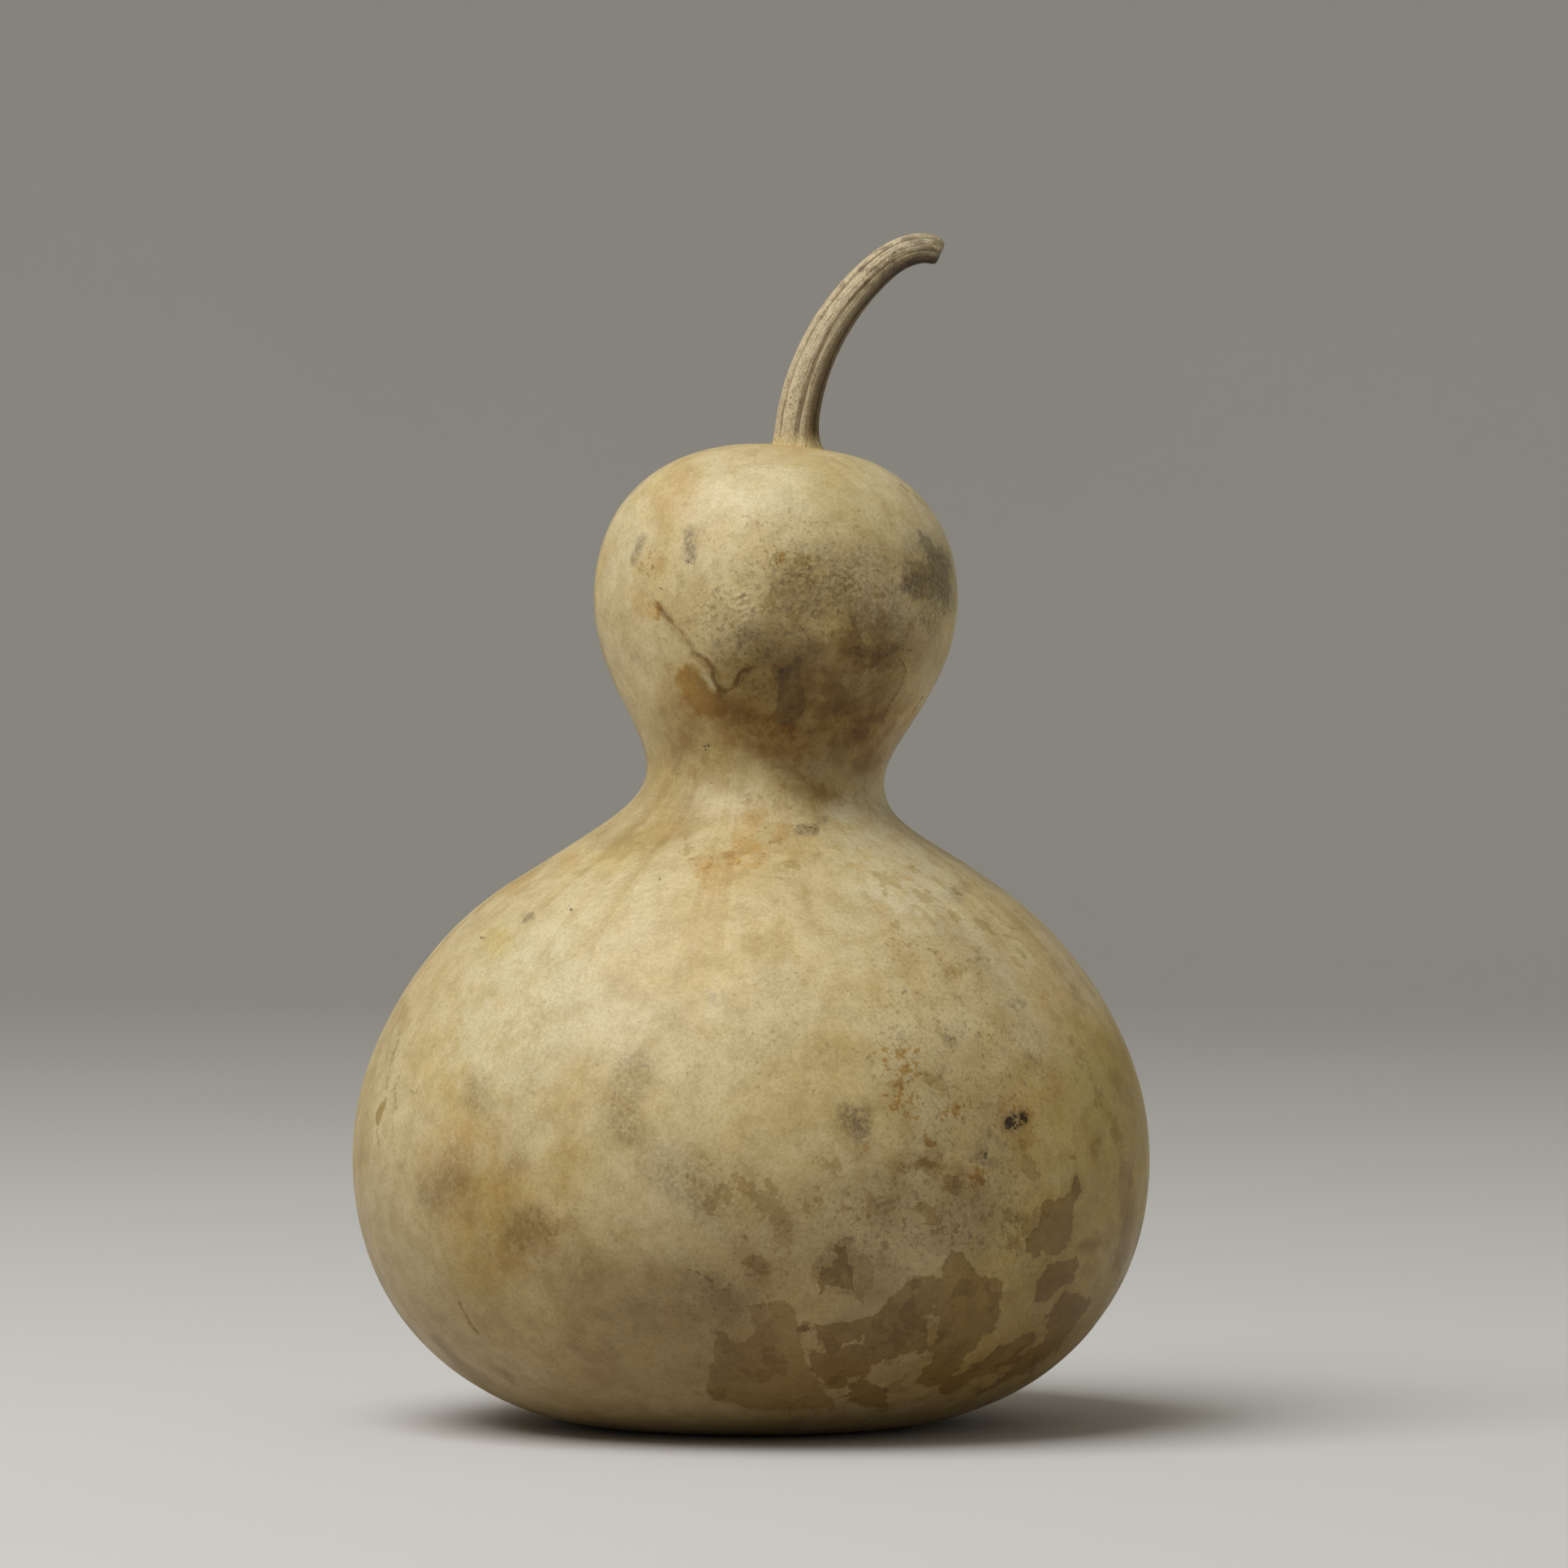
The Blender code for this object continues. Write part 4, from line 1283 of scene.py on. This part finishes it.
def stem_line(distances):
    """Point and direction of the centre line at each distance, walked in small steps."""
    place = STEM_FOOT.copy()
    walked = 0.0
    line = []
    for distance in distances:
        step = (distance - walked) / LINE_STEPS
        for k in range(LINE_STEPS):
            angle = stem_direction(walked + (k + 0.5) * step)
            place = place + Vector((sin(angle), 0.0, cos(angle))) * step
        walked = distance
        line.append((place.copy(), stem_direction(distance)))
    return line


def stem_radius(turn, distance):
    """Radius over the ribs: a slow taper, a flared foot and a slightly swollen tip."""
    share = max(distance, 0.0) / STEM_LENGTH
    to_tip = STEM_LENGTH - distance
    radius = STEM_RADIUS - STEM_TAPER * share ** TAPER_POWER
    flare = FOOT_FLARE[1] + (FOOT_FLARE[0] - FOOT_FLARE[1]) * (0.5 + 0.5 * cos(turn))
    radius += flare * exp(-max(distance, 0.0) / FOOT_FLARE_REACH)
    radius += TIP_FLARE * exp(-to_tip / TIP_FLARE_REACH)
    return radius


def tip_rounding(turn, distance):
    """How much the worn tip is rounded off here: most on the outer side of the bend."""
    outer = 0.5 - 0.5 * cos(turn)
    reach = TIP_ROUND_LENGTH[0] + (TIP_ROUND_LENGTH[1] - TIP_ROUND_LENGTH[0]) * outer
    amount = TIP_ROUND_DEPTH[0] + (TIP_ROUND_DEPTH[1] - TIP_ROUND_DEPTH[0]) * outer
    drop = min(max(1.0 - (STEM_LENGTH - distance) / reach, 0.0), 1.0)
    return amount * (1.0 - (1.0 - drop * drop) ** 0.5)


print("the tip leans", round(degrees(stem_direction(STEM_LENGTH))), "degrees from upright")

# %% [markdown]
# ## Ribs, furrows and fibres
# A stem shrinks between its stiff strands as it dries, so ribs stand up and furrows sink. One
# formula gives the depth at any place on the bark, and every point of the grid is pushed in by it.
# Carving them by hand would take hours, and a formula is tuned in seconds.

# %% Push the ribs, furrows and fibres out of it
RIB_COUNT = 7
RIB_DEPTH = 0.00038
RIB_PHASE = radians(12)
FURROW_WIDTH = 0.14
FIBRE_COUNT = 66
FIBRE_DEPTH = 0.00012
KNOT_DEPTH = 0.00012
RIB_WANDER = 0.10
RIB_STRENGTH, RIB_UNEVENNESS = 0.8, 0.6
WANDER_GRAIN, STRENGTH_GRAIN = (2.0, 38.0), (1.3, 25.0)
FIBRE_GRAIN, KNOT_GRAIN = (FIBRE_COUNT / 6.0, 110.0), (3.0, 420.0)
STRENGTH_SHIFT, KNOT_SHIFT = (5.0, 0.0), (0.0, 9.0)


def bark_noise(angle, distance, grain, shift=(0.0, 0.0)):
    """Noise over the bark, this fine round the stem and along it. A shift gives another pattern."""
    across, along = grain
    x, y = across * cos(angle) + shift[0], across * sin(angle) + shift[1]
    return noise.noise(Vector((x, y, distance * along)))


def stem_relief(angle, distance):
    """How far the bark lies inside the full radius here, and how much of a ridge it is."""
    wander = RIB_WANDER * bark_noise(angle, distance, WANDER_GRAIN)
    cycle = (RIB_COUNT * (angle + wander + RIB_PHASE) / (2.0 * pi)) % 1.0 - 0.5
    furrow = exp(-(cycle / FURROW_WIDTH) ** 2)
    unequal = RIB_STRENGTH + RIB_UNEVENNESS * bark_noise(angle, distance, STRENGTH_GRAIN, STRENGTH_SHIFT)
    fibre = bark_noise(angle, distance, FIBRE_GRAIN)
    knot = bark_noise(angle, distance, KNOT_GRAIN, KNOT_SHIFT)
    depth = RIB_DEPTH * furrow * unequal + FIBRE_DEPTH * (0.5 - fibre) + KNOT_DEPTH * max(-knot, 0.0)
    return depth, 1.0 - furrow


print("furrow and rib, depth in millimetres:",
      [round(1000.0 * stem_relief(a, 0.03)[0], 2) for a in (-RIB_PHASE + pi / RIB_COUNT, -RIB_PHASE)])

# %% [markdown]
# ## The grid of points
# Rings of points follow the line, closer together where the tip is rounded. A few smaller rings
# close the broken end and sink its middle. Each point also keeps where it would lie on an unbent
# stem, for the bark's texture.

# %% Lay the grid and close its end
END_RECESS = 0.0007
END_RINGS = 8
END_ROUGHNESS = 0.00025
END_GRAIN = 900.0
END_BROW = 0.45
END_RIDGE = 0.2
STEM_RINGS = 250
STEM_POINTS = 196
FOOT_SINK = 0.0009
FINE_TIP_STEPS = (0.75, 0.5, 0.3, 0.15, 0.05, 0.0)


def stem_grid():
    """Rings of points from the sunk foot to the tip, and where and how the tip points."""
    distances = [-FOOT_SINK + (STEM_LENGTH + FOOT_SINK) * (k / STEM_RINGS) for k in range(STEM_RINGS)]
    fine_tip = [STEM_LENGTH - TIP_ROUND_LENGTH[0] * left for left in FINE_TIP_STEPS]
    distances = [d for d in distances if d < fine_tip[0]] + fine_tip
    rows = []
    for distance, (place, direction) in zip(distances, stem_line(distances)):
        side = Vector((cos(direction), 0.0, -sin(direction)))
        twist = STEM_TWIST * max(distance, 0.0) / STEM_LENGTH
        row = []
        for k in range(STEM_POINTS):
            angle = 2.0 * pi * k / STEM_POINTS
            depth, ridge = stem_relief(angle, distance)
            turn = angle + twist
            radius = stem_radius(turn, distance) - depth - tip_rounding(turn, distance)
            point = place + side * (radius * cos(turn)) + Vector((0.0, radius * sin(turn), 0.0))
            row.append((point, ridge, distance, angle))
        rows.append(row)
    return rows, place, direction


def end_rings(last, place, direction):
    """Smaller and smaller rings inside the last one, sunk and a little rough."""
    heading = Vector((sin(direction), 0.0, cos(direction)))
    rings = []
    for ring in range(1, END_RINGS):
        share = 1.0 - ring / END_RINGS
        row = []
        for point, _, distance, angle in last:
            sunk = END_RECESS * float(eased((1.0 - share) / END_BROW))
            sunk += END_ROUGHNESS * noise.noise((point - place) * share * END_GRAIN)
            row.append((place + (point - place) * share - heading * sunk, END_RIDGE, distance, angle))
        rings.append(row)
    return rings


def stem_mesh():
    """The grid and the rings over its broken end, skinned with faces, with notes for the bark."""
    rows, end_place, end_direction = stem_grid()
    rows += end_rings(rows[-1], end_place, end_direction)
    shell = bmesh.new()
    grid = [[shell.verts.new(entry[0]) for entry in row] for row in rows]
    for low, high in zip(grid, grid[1:]):
        for k in range(STEM_POINTS):
            after = (k + 1) % STEM_POINTS
            shell.faces.new((low[k], low[after], high[after], high[k]))
    shell.faces.new(grid[-1])
    shell.faces.new(list(reversed(grid[0])))
    mesh = bpy.data.meshes.new("stem_bark")
    shell.to_mesh(mesh)
    shell.free()
    mesh.shade_smooth()
    flat = [entry for row in rows for entry in row]
    store(mesh, "ridge", [entry[1] for entry in flat])
    store(mesh, "along", [entry[2] for entry in flat])
    end_count = (END_RINGS - 1) * STEM_POINTS
    store(mesh, "broken_end", [0.0] * (len(flat) - end_count) + [1.0] * end_count)
    unbent = mesh.attributes.new("unbent_place", "FLOAT_VECTOR", "POINT")
    straight = [c for e in flat for c in (STEM_RADIUS * cos(e[3]), STEM_RADIUS * sin(e[3]), e[2])]
    unbent.data.foreach_set("vector", straight)
    return mesh


_, stem_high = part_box("stem")
stem_skin = linked(stem_mesh(), "stem_skin")
stem_skin.data.calc_loop_triangles()
stem_corners = [Vector(c) for c in stem_skin.bound_box]
print("stem triangles:", len(stem_skin.data.loop_triangles))
print("stem reaches x", round(max(c.x for c in stem_corners), 4), "of", round(stem_high.x, 4),
      "and z", round(max(c.z for c in stem_corners), 4), "of", round(stem_high.z, 4))

# %% [markdown]
# ## The stem's bark
# Tan on the ridges, grey-brown in the furrows, with fibres along it, dark freckles, and a grey-green
# mottle near the tip. Its texture is worked out on the unbent stem, so the fibres bend with it. The
# side away from the light and the underside of the curl near the tip get painted shade.

# %% Mix the bark
BARK_RIDGE = paint(216, 199, 162)
BARK_FURROW = paint(158, 140, 108)
BARK_FOOT = paint(222, 201, 146)
# Painted shade for the stem's side away from the light and under its curl.
BARK_PAINTED_SHADE = paint(146, 131, 101)
BARK_GREEN = paint(150, 146, 118)
BARK_DARK = paint(128, 114, 98)
BARK_GREY = paint(176, 164, 156)
PITH = paint(120, 96, 66)
BARK_BUMP = 0.00010


def bark_body_colour(tree, place, ridge, along, streaks, broad):
    """Tan ridges and brown furrows under fibres, then the greyer and greener bark near the tip."""
    ribs = ramp(tree, ridge, 0.0, 0.8, -0.18, 1.0)
    worn = maths(tree, "ADD", ribs, times(tree, maths(tree, "SUBTRACT", streaks, 0.5), 3.6))
    worn = maths(tree, "ADD", worn, times(tree, maths(tree, "SUBTRACT", broad, 0.5), 1.3))
    colour = blend(tree, "MIX", ramp(tree, worn, -0.3, 1.1), BARK_FURROW, BARK_RIDGE)
    grey = use_group(tree, dapple_patches, {"Place": place, "Scale": 300.0, "Softness": 0.08,
                                            "Amount": ramp(tree, along, 0.030, 0.048, 0.05, 0.8)})["Mask"]
    colour = glaze(tree, colour, BARK_GREY, grey, 0.6)
    near_tip = ramp(tree, along, 0.044, 0.060)
    tip = times(tree, near_tip, ramp(tree, cloud(tree, place, 420.0, 3.0), 0.42, 0.6))
    return blend(tree, "MIX", times(tree, tip, 0.55), colour, BARK_GREEN)


def bark_shade_and_marks(tree, place, along, broad, colour):
    """Painted shade on the far side and under the curl, the pale foot, freckles, torn patches near the tip
    and the broken end.
    """
    across = parts_of(tree, place)[0]
    # Painted shade on the side away from the light, and under the curl near the tip.
    colour = glaze(tree, colour, BARK_PAINTED_SHADE, ramp(tree, across, 0.0008, 0.0035, 0.0, 0.98))
    curled_under_shade = times(tree, ramp(tree, across, -0.0006, 0.0022),
                         ramp(tree, along, 0.032, 0.052, 0.0, 0.75))
    colour = glaze(tree, colour, BARK_PAINTED_SHADE, curled_under_shade)
    colour = blend(tree, "MIX", ramp(tree, along, 0.0002, 0.0046, 0.85, 0.0), colour, BARK_FOOT)
    spots = use_group(tree, freckles, {"Place": place, "Scale": 1500.0,
                                       "Amount": ramp(tree, broad, 0.35, 0.7, 0.5, 0.2)})["Mask"]
    colour = glaze(tree, colour, BARK_DARK, spots, 0.7)
    patches = use_group(tree, torn_edge, {
        "Field": ramp(tree, along, 0.030, 0.060, -4.0, 0.5, "LINEAR"),
        "Rough": cloud(tree, place, 380.0, 4.0, 0.6), "Tear": 22.0, "Softness": 0.8})["Mask"]
    colour = glaze(tree, colour, BARK_DARK, patches, 0.28)
    return blend(tree, "MIX", stored(tree, "broken_end"), colour, PITH), spots


def mix_bark():
    """The stem's colours, its dry sheen, and a bump of fibres and grain."""
    material, tree, shader = new_material("stem_bark_finish")
    place = node(tree, "Attribute", attribute_name="unbent_place").outputs["Vector"]
    ridge, along = stored(tree, "ridge"), stored(tree, "along")
    streaks = use_group(tree, growth_streaks, {"Place": place, "Across": 2100.0, "Along": 230.0})["Value"]
    broad = use_group(tree, growth_streaks, {"Place": place, "Across": 420.0, "Along": 60.0})["Value"]
    colour = bark_body_colour(tree, place, ridge, along, streaks, broad)
    colour, spots = bark_shade_and_marks(tree, place, along, broad, colour)
    grain = use_group(tree, fine_grain, {"Place": place, "Fineness": 2200.0, "Unevenness": 0.3})
    colour = glaze(tree, colour, BARK_FURROW, ramp(tree, grain["Tone"], 0.0, 1.0, 0.45, 0.0))
    tree.links.new(colour, shader.inputs["Base Color"])
    tree.links.new(ramp(tree, ridge, 0.0, 1.0, 0.72, 0.50), shader.inputs["Roughness"])
    height = maths(tree, "ADD", grain["Height"], times(tree, streaks, 1.6))
    height = maths(tree, "SUBTRACT", height, times(tree, spots, 0.5))
    bump = node(tree, "Bump", {"Height": height, "Distance": BARK_BUMP, "Strength": 1.0})
    tree.links.new(bump.outputs["Normal"], shader.inputs["Normal"])
    return material


stem_skin.data.materials.append(mix_bark())
print("bark nodes:", len(stem_skin.data.materials[0].node_tree.nodes))

# %% [markdown]
# ## The backdrop's paper
# Matte, pale and nearly even. It shows only its inner face, so a view from below looks through it.

# %% Paper the sweep
PAPER = paint(215, 215, 214)
PAPER_SHADE = paint(180, 178, 172)
PAPER_ROUGHNESS, PAPER_SHEEN = 0.85, 0.2


def mix_paper():
    """Matte paper on the inner side, and nothing at all on the outer side."""
    material, tree, shader = new_material("backdrop_paper")
    place = node(tree, "TexCoord").outputs["Object"]
    tone = ramp(tree, cloud(tree, place, 1.3, 2.0), 0.3, 0.7, 0.0, 0.04)
    tree.links.new(glaze(tree, PAPER, PAPER_SHADE, tone), shader.inputs["Base Color"])
    shader.inputs["Roughness"].default_value = PAPER_ROUGHNESS
    shader.inputs["Specular IOR Level"].default_value = PAPER_SHEEN
    clear = node(tree, "BsdfTransparent").outputs[0]
    outside = node(tree, "NewGeometry").outputs["Backfacing"]
    mixed = node(tree, "MixShader", {0: outside, 1: shader.outputs[0], 2: clear}).outputs[0]
    tree.links.new(mixed, tree.nodes["Material Output"].inputs["Surface"])
    return material


sweep.data.materials.append(mix_paper())
print("paper sends back", round(PAPER[0], 2), "of the light")

# %% [markdown]
# ## Riding on the body
# Each piece takes its solid's place and rides on the one body of the model.

# %% Ride on the body
for piece, solid, slot in ((gourd_rind, "gourd_body", "rind"), (stem_skin, "stem", "stem_bark")):
    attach(piece, "root")
    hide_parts(solid)
